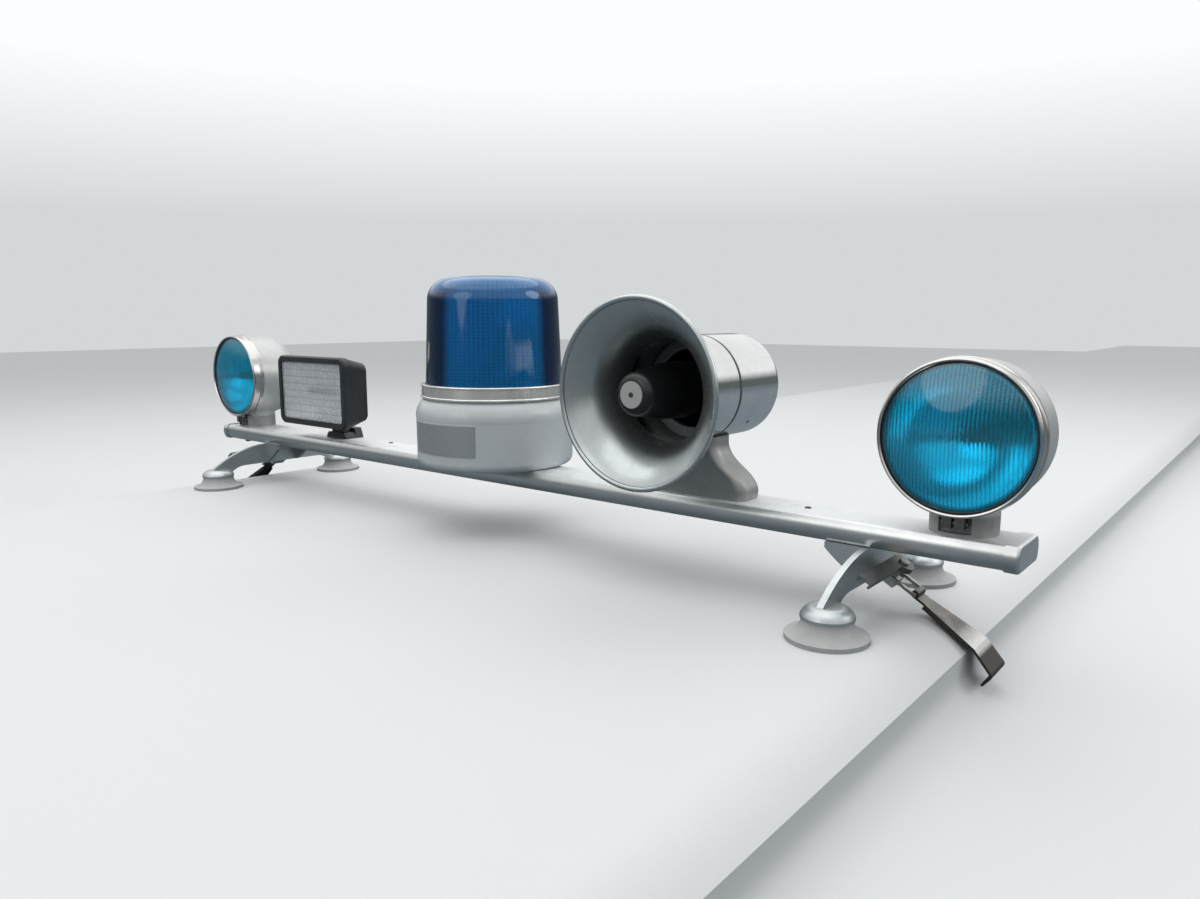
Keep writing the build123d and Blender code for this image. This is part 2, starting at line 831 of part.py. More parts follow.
def lamp_place(shape, side):
    """Put a forward-facing lamp piece on its side of the bar. Heights run forward from the ring plane."""
    return facing_forward(shape, side * lamp_x, lamp_face_y, bar_top + lamp_axis_height)


def make_lamp_bowl(side):
    """Deep bowl: straight wall behind the bezel, then a rounded back."""
    front = -lamp_bezel_depth + 4
    straight = -lamp_bezel_depth - lamp_bowl_straight
    back = -lamp_bezel_depth - lamp_bowl_depth
    outer = lamp_bowl_radius
    wall = lamp_bowl_wall
    bowl = spun(
        (outer - wall, front),
        (outer, front),
        (outer, straight),
        ((outer * 0.86, (straight + back) / 2 - 6), (outer * 0.52, back)),
        (0, back),
        (0, back + wall),
        (outer * 0.52 - 1, back + wall),
        ((outer * 0.86 - wall, (straight + back) / 2 - 6 + wall), (outer - wall, straight)),
    )
    return lamp_place(bowl, side)


def make_lamp_bezel(side):
    """Rolled bezel ring with its clamp ears and screw at the bottom."""
    ring = lamp_ring_radius
    wall = lamp_bezel_wall
    lip = lamp_lens_radius + lamp_gasket_width - 0.8
    bezel = spun(
        (ring - wall, -lamp_bezel_depth),
        (ring, -lamp_bezel_depth),
        (ring + 0.6, -lamp_bezel_depth + 5),
        (ring - 0.4, -lamp_bezel_depth + 6.5),
        (ring, -4),
        ((ring - 0.7, -1.2), (ring - 2.2, 0)),
        (lip, -1.2),
        (lip, -1.2 - wall),
        (ring - wall, -5),
    )
    ear = block((-lamp_clip_width / 2, -ring - lamp_clip_height, -lamp_bezel_depth),
                (lamp_clip_width / 2, -ring + 1.2, -lamp_bezel_depth + 12))
    slot = block((-1.5, -ring - lamp_clip_height - 1, -lamp_bezel_depth - 1),
                 (1.5, -ring - 0.5, -lamp_bezel_depth + 13))
    screw = Pos(0, -ring - lamp_clip_height * 0.6, -lamp_bezel_depth + 6)
    screw *= Cylinder(2.6, lamp_clip_width + 5, rotation=(0, 90, 0))
    return lamp_place(bezel + (ear - slot) + screw, side)


def make_lamp_gasket(side):
    """Black rubber ring between the bezel and the lens."""
    outer = lamp_lens_radius + lamp_gasket_width
    inner = lamp_lens_radius
    low = -1.2 - lamp_bezel_wall - 0.2 - lamp_gasket_depth
    gasket = spun(
        (inner - 2, low),
        (outer - 1.4, low),
        (outer - 1.4, low + lamp_gasket_depth),
        (inner, low + lamp_gasket_depth + 0.6),
        (inner, low + 2),
        (inner - 2, low + 2),
    )
    return lamp_place(gasket, side)


def lamp_lens_seat():
    return -1.2 - lamp_bezel_wall - 0.2 - lamp_gasket_depth + 2


def make_lamp_lens(side):
    """Bulged lens in the gasket."""
    rim = lamp_lens_radius - 0.1
    low = lamp_lens_seat()
    thick = lamp_lens_thickness
    bulge = lamp_lens_bulge
    lens = spun(
        (0, low + bulge),
        (crown(rim, low, bulge), (rim, low)),
        (rim, low + thick),
        (crown(rim, low + thick, bulge), (0, low + thick + bulge)),
    )
    return lamp_place(lens, side)


def make_lamp_reflector(side):
    """Silvered dish behind the lens."""
    rim = lamp_lens_radius - 2
    high = lamp_lens_seat() - 2.2
    low = high - lamp_reflector_depth
    wall = lamp_reflector_wall
    neck = 9.0
    dish = spun(
        (neck, low),
        ((rim * 0.72, (low + high) / 2 - 5), (rim + 1.2, high - 1.5)),
        (rim + 3.4, high - 1.5),
        (rim + 3.4, high),
        (rim, high),
        ((rim * 0.72 - wall, (low + high) / 2 - 5 + wall), (neck, low + wall)),
    )
    return lamp_place(dish, side)


def make_lamp_bulb(side):
    """Bulb in the dish's neck, with the metal cap that shades its front."""
    low = lamp_lens_seat() - 2.2 - lamp_reflector_depth
    tip = low + lamp_bulb_length
    bulb = spun(
        (0, low - 12),
        (8.6, low - 12),
        (8.6, low + 3),
        (6.0, low + 6),
        ((lamp_bulb_radius - 1, low + 12), (lamp_bulb_radius, tip - 6)),
        (crown(lamp_bulb_radius, tip - 6, 6), (0, tip)),
    )
    return lamp_place(bulb, side)


def make_lamp_pedestal(side):
    """Round boss under the lamp, saddled to the bowl, with a notch for the bezel's clamp ears."""
    x = side * lamp_x
    boss = rod(lamp_pedestal_radius, bar_top, bar_top + lamp_axis_height, x, lamp_pedestal_y)
    axis = bar_top + lamp_axis_height
    bowl = Pos(x, 0, axis) * Cylinder(lamp_bowl_radius + cap_play, beyond, rotation=(90, 0, 0))
    keep_top = axis - lamp_bowl_radius * 0.82
    keep_below = block((x - beyond, -beyond, bar_top - 1), (x + beyond, beyond, keep_top))
    boss = (boss & keep_below) - bowl
    bezel_back = lamp_face_y + lamp_bezel_depth + cap_play
    ring_room = Cylinder(lamp_ring_radius + 1.2, beyond, rotation=(90, 0, 0),
                         align=(Align.CENTER, Align.CENTER, Align.MIN))
    boss -= Pos(x, bezel_back, axis) * ring_room
    notch_half = lamp_clip_width / 2 + lamp_clip_room
    notch = block((x - notch_half, -beyond, bar_top + 3), (x + notch_half, bezel_back, axis))
    return one_solid(boss - notch)


def work_box(inset, front, back, back_inset, corner):
    """Rounded box between two depths, drawn in by an inset, and tapered by a further inset at the back."""
    width = work_width - 2 * inset
    height = work_height - 2 * inset
    front_face = Plane.XZ.offset(-front) * RectangleRounded(width, height, corner)
    back_face = RectangleRounded(width - 2 * back_inset, height - 2 * back_inset, corner)
    back_face = Plane.XZ.offset(-back) * back_face
    return loft([front_face, back_face])


def work_place(shape):
    """Put a work lamp piece whose middle is at the origin of X and Z in its place."""
    return Pos(work_x, 0, bar_top + work_bottom + work_height / 2) * shape


def make_work_housing():
    """Moulded housing: an open box with a drawn-in back, a rear spine and the knuckle tongue below."""
    front = work_face_y + work_bezel_depth
    back = work_face_y + work_depth
    outer = work_box(0.0, front, back, work_back_inset, work_corner)
    inner = work_box(work_wall, front, back - work_wall, work_back_inset, work_corner - work_wall)
    housing = outer - inner
    low = -work_height / 2
    tongue_low = low - work_bottom + knuckle_axis_height
    x = work_foot_x - work_x
    half = knuckle_tongue / 2
    tongue = block((x - half, knuckle_y - knuckle_radius, tongue_low),
                   (x + half, knuckle_y + knuckle_radius, low + work_back_inset))
    tongue += Pos(x, knuckle_y, tongue_low) * Cylinder(knuckle_radius, knuckle_tongue, rotation=(0, 90, 0))
    tongue -= inner
    bolt = Cylinder(knuckle_bolt_radius + pin_play, beyond, rotation=(0, 90, 0))
    bolt = Pos(x, knuckle_y, tongue_low) * bolt
    return work_place(housing + tongue - bolt)


def make_work_bezel():
    """Front bezel: a rounded frame over the housing's mouth."""
    front = work_face_y
    back = work_face_y + work_bezel_depth
    outer = work_box(-1.0, front + 2.5, back, 0.0, work_corner + 1)
    nose = work_box(1.0, front, front + 2.5, -2.0, work_corner - 1)
    window = work_box(work_bezel_lip, front - 1, back + 1, 0.0, 6.0)
    return work_place(outer + nose - window)


def make_work_lens():
    """Flat lens in the bezel's window."""
    front = work_face_y + work_lens_setback
    lens = work_box(work_bezel_lip + cap_play, front, front + work_lens_thickness, 0.0, 6.0 - cap_play)
    return work_place(lens)


def make_work_reflector():
    """Silvered trough behind the lens, with slanted walls and a flat back."""
    front = work_face_y + work_lens_setback + work_lens_thickness + 0.4
    back = front + work_reflector_depth
    outer = work_box(work_bezel_lip + 0.4, front, back, 16.0, 6.0)
    wall = work_reflector_wall
    inner = work_box(work_bezel_lip + 0.4 + wall, front - 0.5, back - wall, 16.0, 5.0)
    return work_place(outer - inner)


def make_work_bulb():
    """Tubular bulb across the trough, on two end holders."""
    back = work_face_y + work_lens_setback + work_lens_thickness + 0.4 + work_reflector_depth
    bulb_y = back - work_reflector_wall - work_bulb_radius - 1
    bulb = Pos(0, bulb_y, 0) * Cylinder(work_bulb_radius * 0.6, 46, rotation=(0, 90, 0))
    for side in sides.values():
        bulb += block((side * 25 - 4, bulb_y - 6, -7), (side * 25 + 4, back - work_reflector_wall, 7))
    return work_place(bulb)


def make_work_stud():
    """Fixed stud on the bar that the work lamp's foot turns on."""
    return rod(work_stud_radius, bar_top, bar_top + work_stud_height, work_foot_x, work_foot_y)


def foot_block(height, front, back):
    """Trapezoid of the foot's length with sloping ends, between two depths."""
    half = work_foot_length / 2
    top_half = work_foot_top_length / 2
    side_view = outline((-half, 0), (half, 0), (half - 1, 3), (top_half, height),
                        (-top_half, height), (-half + 1, 3))
    return Pos(0, back, 0) * extrude(Plane.XZ * side_view, back - front)


def make_work_foot():
    """Foot that turns on its stud, with a raised heel and, ahead of it, two ears for the knuckle bolt."""
    low = bar_top + foot_play
    reach = work_foot_width / 2
    foot = foot_block(work_foot_height, -reach, reach)
    foot += foot_block(work_heel_height, reach - work_heel_depth, reach)
    axis = knuckle_axis_height - foot_play
    bolt_y = -knuckle_forward
    inner = knuckle_tongue / 2 + knuckle_side_play
    for side in sides.values():
        near = side * inner
        far = side * (inner + knuckle_ear)
        ear = block((min(near, far), bolt_y - knuckle_radius, work_foot_height - 1),
                    (max(near, far), bolt_y + knuckle_radius, axis))
        boss = Cylinder(knuckle_radius, knuckle_ear, rotation=(0, 90, 0))
        ear += Pos((near + far) / 2, bolt_y, axis) * boss
        foot += ear
    foot -= Pos(0, bolt_y, axis) * Cylinder(knuckle_radius + 1.0, 2 * inner, rotation=(0, 90, 0))
    span = 2 * (inner + knuckle_ear)
    foot += Pos(0, bolt_y, axis) * Cylinder(knuckle_bolt_radius, span + 7, rotation=(0, 90, 0))
    for side in sides.values():
        foot += Pos(side * (span / 2 + 1.8), bolt_y, axis) * Cylinder(5.2, 3.6, rotation=(0, 90, 0))
    foot -= rod(work_stud_radius + pin_play, -1, work_stud_height)
    return Pos(work_foot_x, work_foot_y, low) * foot


def make_cable_gland():
    """Rubber gland under the bar, with its bore blind."""
    gland = spun(
        (0, 0),
        (gland_radius + 2, 0),
        (gland_radius + 2, -2),
        (gland_radius, -3),
        (gland_radius - 1.2, -gland_height),
        (3.0, -gland_height),
        (3.0, -3),
        (0, -3),
    )
    return Pos(gland_x, 0, bar_underside) * gland


def build_nodes():
    """Every piece by its node name."""
    nodes = {
        "cross_bar": make_cross_bar(),
        "cable_gland": make_cable_gland(),
        "beacon_base": make_beacon_base(),
        "beacon_plate": make_beacon_badge(),
        "beacon_band": make_beacon_band(),
        "beacon_dome": make_beacon_dome(),
        "beacon_motor": make_beacon_motor(),
        "beacon_turntable": make_beacon_turntable(),
        "horn_bell": make_horn_bell(),
        "horn_bullet": make_horn_bullet(),
        "horn_nose_disc": make_horn_nose_disc(),
        "horn_drum_front": make_drum_front(),
        "horn_drum_rear": make_drum_rear(),
        "horn_pedestal": make_horn_pedestal(),
        "work_lamp_housing": make_work_housing(),
        "work_lamp_bezel": make_work_bezel(),
        "work_lamp_lens": make_work_lens(),
        "work_lamp_reflector": make_work_reflector(),
        "work_lamp_bulb": make_work_bulb(),
        "work_lamp_foot": make_work_foot(),
        "work_lamp_stud": make_work_stud(),
    }
    for name, way in ends.items():
        nodes[f"rotor_bowl_{name}"] = make_rotor_lamp_bowl(-way)
        nodes[f"rotor_lens_{name}"] = make_rotor_lamp_lens(-way)
    for side_name, side in sides.items():
        nodes[f"end_cap_{side_name}"] = on_side(make_end_cap(), side)
        nodes[f"bracket_{side_name}"] = on_side(make_bracket(), side)
        nodes[f"clamp_lever_{side_name}"] = on_side(make_clamp_lever(), side)
        nodes[f"clamp_frame_{side_name}"] = on_side(make_clamp_frame(), side)
        nodes[f"strap_hook_{side_name}"] = on_side(make_strap_hook(), side)
        for end_name, end in ends.items():
            nodes[f"cup_{end_name}_{side_name}"] = make_cup(side * foot_x, end * foot_y)
        nodes[f"lamp_bowl_{side_name}"] = make_lamp_bowl(side)
        nodes[f"lamp_bezel_{side_name}"] = make_lamp_bezel(side)
        nodes[f"lamp_gasket_{side_name}"] = make_lamp_gasket(side)
        nodes[f"lamp_lens_{side_name}"] = make_lamp_lens(side)
        nodes[f"lamp_reflector_{side_name}"] = make_lamp_reflector(side)
        nodes[f"lamp_bulb_{side_name}"] = make_lamp_bulb(side)
        nodes[f"lamp_pedestal_{side_name}"] = make_lamp_pedestal(side)
    return nodes


os.makedirs("parts", exist_ok=True)
for node_name, shape in build_nodes().items():
    export_step(shape, f"parts/{node_name}.step")
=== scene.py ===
import json
import logging
import math
from dataclasses import dataclass, field
from enum import Enum
from typing import Iterable, NamedTuple, Sequence

import bmesh
import bpy
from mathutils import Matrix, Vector


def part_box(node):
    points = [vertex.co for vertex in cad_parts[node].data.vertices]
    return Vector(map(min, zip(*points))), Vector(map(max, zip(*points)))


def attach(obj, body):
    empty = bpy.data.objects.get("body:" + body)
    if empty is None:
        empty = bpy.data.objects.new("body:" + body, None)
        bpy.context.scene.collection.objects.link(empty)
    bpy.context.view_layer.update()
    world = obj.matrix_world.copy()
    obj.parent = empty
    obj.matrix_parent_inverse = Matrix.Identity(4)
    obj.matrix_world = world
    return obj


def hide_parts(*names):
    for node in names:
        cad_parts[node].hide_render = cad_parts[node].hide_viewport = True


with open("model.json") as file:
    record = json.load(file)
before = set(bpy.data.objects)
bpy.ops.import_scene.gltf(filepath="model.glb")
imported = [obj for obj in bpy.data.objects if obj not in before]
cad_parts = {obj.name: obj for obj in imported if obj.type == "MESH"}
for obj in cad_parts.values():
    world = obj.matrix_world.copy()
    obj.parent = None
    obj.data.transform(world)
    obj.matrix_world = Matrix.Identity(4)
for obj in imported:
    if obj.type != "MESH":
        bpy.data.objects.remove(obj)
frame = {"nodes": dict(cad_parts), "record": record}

Vec3 = tuple[float, float, float]
Colour = tuple[float, float, float]
Pair = tuple[float, float]
Socket = bpy.types.NodeSocket
NodeTree = bpy.types.NodeTree

LOG = logging.getLogger("roof_light_bar")
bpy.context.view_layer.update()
ROOT = "root"
FORWARD: Vec3 = (0.0, -1.0, 0.0)
UPWARD: Vec3 = (0.0, 0.0, 1.0)


class Canvas:
    """A node tree being drawn, with short calls for its nodes and links."""

    def __init__(self, tree: NodeTree) -> None:
        """Start drawing on a shader or geometry tree."""
        self.tree = tree

    def add(self, kind: str, inputs: dict | None = None, **settings: object) -> bpy.types.Node:
        """Add a node.

        Args:
            kind: The node's identifier.
            inputs: Values or sockets for its inputs, by name or index.
            settings: Properties of the node.

        Returns:
            The new node.
        """
        node = self.tree.nodes.new(kind)
        for name, value in settings.items():
            setattr(node, name, value)
        for name, value in (inputs or {}).items():
            self.feed(node.inputs[name], value)
        return node

    def feed(self, socket: Socket, value: object) -> None:
        """Give an input a plain value or link it to an output.

        Args:
            socket: The input to fill.
            value: An output socket, or a value of the input's own type.
        """
        if isinstance(value, Socket):
            self.tree.links.new(value, socket)
        elif socket.type == "RGBA" and len(value) == 3:
            socket.default_value = (*value, 1.0)
        else:
            socket.default_value = value

    def math(self, operation: str, *values: object, clamp: bool = False) -> Socket:
        """Add a Math node.

        Args:
            operation: What the node does.
            values: Its inputs, in order.
            clamp: Whether the result is held between 0 and 1.

        Returns:
            The node's output.
        """
        node = self.add("ShaderNodeMath", dict(enumerate(values)), operation=operation, use_clamp=clamp)
        return node.outputs[0]

    def times(self, *values: object) -> Socket:
        """Product of two numbers."""
        return self.math("MULTIPLY", *values)

    def blend(self, factor: object, first: object, second: object, colour: bool = True) -> Socket:
        """Mix two colours or two numbers.

        Args:
            factor: Share of the second.
            first: Colour or number at 0.
            second: Colour or number at 1.
            colour: Whether colours are mixed, in place of numbers.

        Returns:
            The mixed output.
        """
        node = self.add("ShaderNodeMix", data_type="RGBA" if colour else "FLOAT")
        inputs = [s for s in node.inputs if s.enabled]
        for socket, value in zip(inputs, (factor, first, second)):
            self.feed(socket, value)
        return next(s for s in node.outputs if s.enabled)

    def spread(self, value: object, low: float, high: float, out_low: float = 0.0,
               out_high: float = 1.0) -> Socket:
        """Stretch a value from one range to another, held at its ends.

        Args:
            value: The number to stretch.
            low: Start of the range it is read in.
            high: End of that range.
            out_low: What low becomes.
            out_high: What high becomes.

        Returns:
            The stretched output.
        """
        values = dict(enumerate((value, low, high, out_low, out_high)))
        return self.add("ShaderNodeMapRange", values, clamp=True).outputs[0]

    def noise(self, vector: Socket, scale: object, detail: float, roughness: float = 0.5) -> Socket:
        """Add cloudy noise.

        Args:
            vector: Where it is read.
            scale: Clouds to a metre.
            detail: How many finer layers it has.
            roughness: How much the finer layers count.

        Returns:
            The noise, between 0 and 1.
        """
        values = {"Vector": vector, "Scale": scale, "Detail": detail, "Roughness": roughness}
        return self.add("ShaderNodeTexNoise", values).outputs["Fac"]

    def part(self, vector: Socket, axis: str) -> Socket:
        """One axis of a vector."""
        return self.add("ShaderNodeSeparateXYZ", {0: vector}).outputs[axis]

    def facing(self, axis: str) -> Socket:
        """One axis of the direction in which the surface looks."""
        return self.part(self.add("ShaderNodeNewGeometry").outputs["Normal"], axis)

    def group(self, tree: NodeTree, inputs: dict[str, object]) -> bpy.types.bpy_prop_collection:
        """Outputs of a shared shader group, placed here with its own inputs."""
        return self.add("ShaderNodeGroup", inputs, node_tree=tree).outputs

    def show(self, kind: str, shader: bpy.types.Node) -> None:
        """End the tree with an output of the kind, which shows the shader."""
        self.feed(self.add(kind).inputs["Surface"], shader.outputs[0])


def blank_canvas(owner: bpy.types.Material | bpy.types.World) -> Canvas:
    """Empty a material's or a world's node tree.

    Args:
        owner: The material or world.

    Returns:
        A canvas on its tree.
    """
    owner.use_nodes = True
    owner.node_tree.nodes.clear()
    return Canvas(owner.node_tree)


class Sockets(Enum):
    """Kinds of socket a group can have."""

    NUMBER = "NodeSocketFloat"
    VECTOR = "NodeSocketVector"
    COLOUR = "NodeSocketColor"
    SHAPE = "NodeSocketGeometry"
    FINISH = "NodeSocketMaterial"
    COUNT = "NodeSocketInt"


def new_tree(name: str, kind: str, takes: dict[str, Sockets],
             gives: dict[str, Sockets]) -> tuple[Canvas, bpy.types.Node, bpy.types.Node]:
    """Start a node group with named sockets.

    Args:
        name: The group's name.
        kind: The tree's identifier.
        takes: Its inputs by name.
        gives: Its outputs by name.

    Returns:
        The canvas, the group's input node and its output node.
    """
    tree = bpy.data.node_groups.new(name, kind)
    for way, sockets in (("INPUT", takes), ("OUTPUT", gives)):
        for label, sort in sockets.items():
            tree.interface.new_socket(name=label, in_out=way, socket_type=sort.value)
    canvas = Canvas(tree)
    return canvas, canvas.add("NodeGroupInput"), canvas.add("NodeGroupOutput")


class SharedEffects:
    """Shader groups that several finishes use, each built once.

    A noise is given by its detail and its roughness, and a range by its two ends.
    """

    BROAD_WEAR: Pair = (5.0, 0.62)
    FINE_WEAR: Pair = (3.0, 0.7)
    FINE_WEAR_SCALE = 8.5
    FINE_WEAR_SHARE = 0.35
    WEAR_RANGE: Pair = (0.4, 0.66)
    RELIEF: Pair = (4.0, 0.6)
    TURNING_DETAIL = 3.0
    DUST: Pair = (4.0, 0.65)
    DUST_FACING: Pair = (0.25, 1.0)

    def __init__(self) -> None:
        """Build the groups."""
        self.patches = self._patches()
        self.relief = self._relief()
        self.turning = self._turning()
        self.dust = self._dust()

    def _patches(self) -> NodeTree:
        """Cloudy wear: a clean and a worn colour and roughness, mixed by broad and fine noise.

        Returns:
            The group.
        """
        canvas, start, end = new_tree(
            "Cloudy_Wear", "ShaderNodeTree",
            {"Vector": Sockets.VECTOR, "Scale": Sockets.NUMBER, "Amount": Sockets.NUMBER,
             "Clean": Sockets.COLOUR, "Worn": Sockets.COLOUR, "Clean Roughness": Sockets.NUMBER,
             "Worn Roughness": Sockets.NUMBER},
            {"Color": Sockets.COLOUR, "Roughness": Sockets.NUMBER, "Mask": Sockets.NUMBER})
        given = start.outputs
        broad = canvas.noise(given["Vector"], given["Scale"], *self.BROAD_WEAR)
        finer = canvas.times(given["Scale"], self.FINE_WEAR_SCALE)
        fine = canvas.noise(given["Vector"], finer, *self.FINE_WEAR)
        both = canvas.blend(self.FINE_WEAR_SHARE, broad, fine, colour=False)
        mask = canvas.math("MULTIPLY", canvas.spread(both, *self.WEAR_RANGE), given["Amount"], clamp=True)
        rough = canvas.blend(mask, given["Clean Roughness"], given["Worn Roughness"], colour=False)
        canvas.feed(end.inputs["Mask"], mask)
        canvas.feed(end.inputs["Color"], canvas.blend(mask, given["Clean"], given["Worn"]))
        canvas.feed(end.inputs["Roughness"], rough)
        return canvas.tree

    def _relief(self) -> NodeTree:
        """Fine relief: noise that can be stretched along an axis into brush lines.

        Returns:
            The group.
        """
        canvas, start, end = new_tree(
            "Fine_Relief", "ShaderNodeTree",
            {"Vector": Sockets.VECTOR, "Scale": Sockets.NUMBER, "Stretch": Sockets.VECTOR},
            {"Height": Sockets.NUMBER})
        given = start.outputs
        stretched = canvas.add("ShaderNodeVectorMath", {0: given["Vector"], 1: given["Stretch"]},
                               operation="MULTIPLY")
        height = canvas.noise(stretched.outputs[0], given["Scale"], *self.RELIEF)
        canvas.feed(end.inputs["Height"], height)
        return canvas.tree

    def _turning(self) -> NodeTree:
        """Turning lines round an axis that runs front to back, by radius or by place along the axis.

        Returns:
            The group.
        """
        canvas, start, end = new_tree(
            "Turning_Lines", "ShaderNodeTree",
            {"Vector": Sockets.VECTOR, "Centre": Sockets.VECTOR, "Pitch": Sockets.NUMBER,
             "Along": Sockets.NUMBER},
            {"Height": Sockets.NUMBER, "Radius": Sockets.NUMBER, "Depth": Sockets.NUMBER})
        given = start.outputs
        local = canvas.add("ShaderNodeVectorMath", {0: given["Vector"], 1: given["Centre"]},
                           operation="SUBTRACT")
        parts = canvas.add("ShaderNodeSeparateXYZ", {0: local.outputs[0]}).outputs
        squares = [canvas.math("POWER", canvas.math("ABSOLUTE", parts[axis]), 2.0) for axis in "XZ"]
        radius = canvas.math("SQRT", canvas.math("ADD", *squares))
        place = canvas.blend(given["Along"], radius, parts["Y"], colour=False)
        lines = canvas.add("ShaderNodeTexNoise", {
            "W": canvas.math("DIVIDE", place, given["Pitch"]), "Detail": self.TURNING_DETAIL, "Scale": 1.0},
            noise_dimensions="1D")
        canvas.feed(end.inputs["Height"], lines.outputs["Fac"])
        canvas.feed(end.inputs["Radius"], radius)
        canvas.feed(end.inputs["Depth"], parts["Y"])
        return canvas.tree

    def _dust(self) -> NodeTree:
        """Dust that lies on faces that look up.

        Returns:
            The group.
        """
        canvas, start, end = new_tree(
            "Settled_Dust", "ShaderNodeTree",
            {"Vector": Sockets.VECTOR, "Scale": Sockets.NUMBER, "Amount": Sockets.NUMBER},
            {"Mask": Sockets.NUMBER})
        given = start.outputs
        amount = canvas.times(canvas.spread(canvas.facing("Z"), *self.DUST_FACING), given["Amount"])
        noise = canvas.noise(given["Vector"], given["Scale"], *self.DUST)
        canvas.feed(end.inputs["Mask"], canvas.math("MULTIPLY", amount, noise, clamp=True))
        return canvas.tree


@dataclass
class Surface:
    """A material in the making: its tree, the shared groups, Object coordinates, and its looks so far."""

    canvas: Canvas
    effects: SharedEffects
    place: Socket
    colour: Socket
    rough: Socket

    def cover(self, mask: Socket, colour: Colour, roughness: float) -> None:
        """Lay a colour and a roughness over the surface where the mask says."""
        self.colour = self.canvas.blend(mask, self.colour, colour)
        self.rough = self.canvas.blend(mask, self.rough, roughness, colour=False)


class Relief(Enum):
    """Fine relief of a surface."""

    PLAIN = "plain"
    GRAINED = "grained"
    TURNED = "turned"


@dataclass(frozen=True)
class Finish:
    """An opaque finish with cloudy wear, fine relief and dust. Lengths are in metres.

    On bare metal the relief's lines also take some of the worn colour.
    """

    name: str
    clean: Colour
    worn: Colour
    roughness: float
    worn_roughness: float
    metallic: float = 0.0
    coat: float = 0.0
    coat_roughness: float = 0.12
    patch_scale: float = 14.0
    patch_amount: float = 0.6
    relief: Relief = Relief.GRAINED
    relief_scale: float = 900.0
    relief_depth: float = 0.00006
    stretch: Vec3 = (1.0, 1.0, 1.0)
    centre: Vec3 = (0.0, 0.0, 0.0)
    pitch: float = 0.0012
    along: float = 0.0
    bare_metal: float = 0.5
    line_range: Pair = (0.35, 0.65)
    line_amount: float = 0.16
    dust: float = 0.0
    dust_colour: Colour = (0.42, 0.40, 0.36)
    dust_scale: float = 60.0
    dust_roughness: float = 0.85

    def build(self, effects: SharedEffects) -> bpy.types.Material:
        """Make the material.

        Args:
            effects: The shared shader groups.

        Returns:
            The material.
        """
        material = bpy.data.materials.new(self.name)
        canvas = blank_canvas(material)
        place = canvas.add("ShaderNodeTexCoord").outputs["Object"]
        wear = canvas.group(effects.patches, {
            "Vector": place, "Scale": self.patch_scale, "Amount": self.patch_amount, "Clean": self.clean,
            "Worn": self.worn, "Clean Roughness": self.roughness, "Worn Roughness": self.worn_roughness})
        surface = Surface(canvas, effects, place, wear["Color"], wear["Roughness"])
        height = self._height(surface)
        if height is not None and self.metallic > self.bare_metal:
            lines = canvas.spread(height, *self.line_range, 0.0, self.line_amount)
            surface.colour = canvas.blend(lines, surface.colour, self.worn)
        self.accent(surface)
        if self.dust > 0.0:
            given = {"Vector": place, "Scale": self.dust_scale, "Amount": self.dust}
            surface.cover(canvas.group(effects.dust, given)["Mask"], self.dust_colour, self.dust_roughness)
        shader = canvas.add("ShaderNodeBsdfPrincipled", {
            "Base Color": surface.colour, "Roughness": surface.rough, "Metallic": self.metallic,
            "Coat Weight": self.coat, "Coat Roughness": self.coat_roughness})
        if height is not None:
            bump = canvas.add("ShaderNodeBump", {
                "Strength": 1.0, "Distance": self.relief_depth, "Height": height})
            canvas.feed(shader.inputs["Normal"], bump.outputs["Normal"])
        canvas.show("ShaderNodeOutputMaterial", shader)
        return material

    def accent(self, surface: Surface) -> None:
        """Local change of looks, which a special finish gives. A plain finish has none."""

    def _height(self, surface: Surface) -> Socket | None:
        """Fine relief of the finish.

        Args:
            surface: The material in the making.

        Returns:
            A height, or None for a plain surface.
        """
        if self.relief is Relief.PLAIN:
            return None
        if self.relief is Relief.TURNED:
            return self.turning(surface, self.along)["Height"]
        return surface.canvas.group(surface.effects.relief, {
            "Vector": surface.place, "Scale": self.relief_scale, "Stretch": self.stretch})["Height"]

    def turning(self, surface: Surface, along: float) -> bpy.types.bpy_prop_collection:
        """Turning lines about the finish's own centre.

        Args:
            surface: The material in the making.
            along: 0 for lines by radius, 1 for lines by place along the axis.

        Returns:
            The group's height, radius and depth.
        """
        return surface.canvas.group(surface.effects.turning, {
            "Vector": surface.place, "Centre": self.centre, "Pitch": self.pitch, "Along": along})


@dataclass(frozen=True)
class HornInside(Finish):
    """A turned metal finish with painted shade that deepens down the horn's throat, and a painted dark floor
    at its bottom.
    """

    throat_shade: Colour = (0.06, 0.07, 0.075)
    throat_shade_roughness: float = 0.7
    black: Colour = (0.004, 0.004, 0.005)
    black_roughness: float = 0.9
    bore_radius: float = 0.0573
    floor_radius: float = 0.0443
    shade_start: float = -0.064
    shade_end: float = -0.022
    shade_amount: float = 0.6
    floor_front: float = -0.0195
    bore_back: float = -0.008
    front_facing: float = -0.05

    def accent(self, surface: Surface) -> None:
        """Paint shade on the faces that look into the horn, and paint the floor of its bore dark.

        Args:
            surface: The material in the making.
        """
        canvas = surface.canvas
        lines = self.turning(surface, 0.0)
        radius, depth = lines["Radius"], lines["Depth"]
        inside = canvas.math("MAXIMUM", canvas.math("LESS_THAN", radius, self.bore_radius),
                             canvas.math("LESS_THAN", canvas.facing("Y"), self.front_facing))
        inside = canvas.times(inside, canvas.math("LESS_THAN", depth, self.bore_back))
        # Painted shade that deepens down the throat, on faces that look into the horn.
        shade = canvas.spread(depth, self.shade_start, self.shade_end, 0.0, self.shade_amount)
        surface.cover(canvas.times(inside, shade), self.throat_shade, self.throat_shade_roughness)
        # Painted dark floor where the bore ends, standing in for its deep shade.
        floor = canvas.times(canvas.math("LESS_THAN", radius, self.floor_radius),
                             canvas.math("GREATER_THAN", depth, self.floor_front))
        surface.cover(canvas.times(floor, inside), self.black, self.black_roughness)


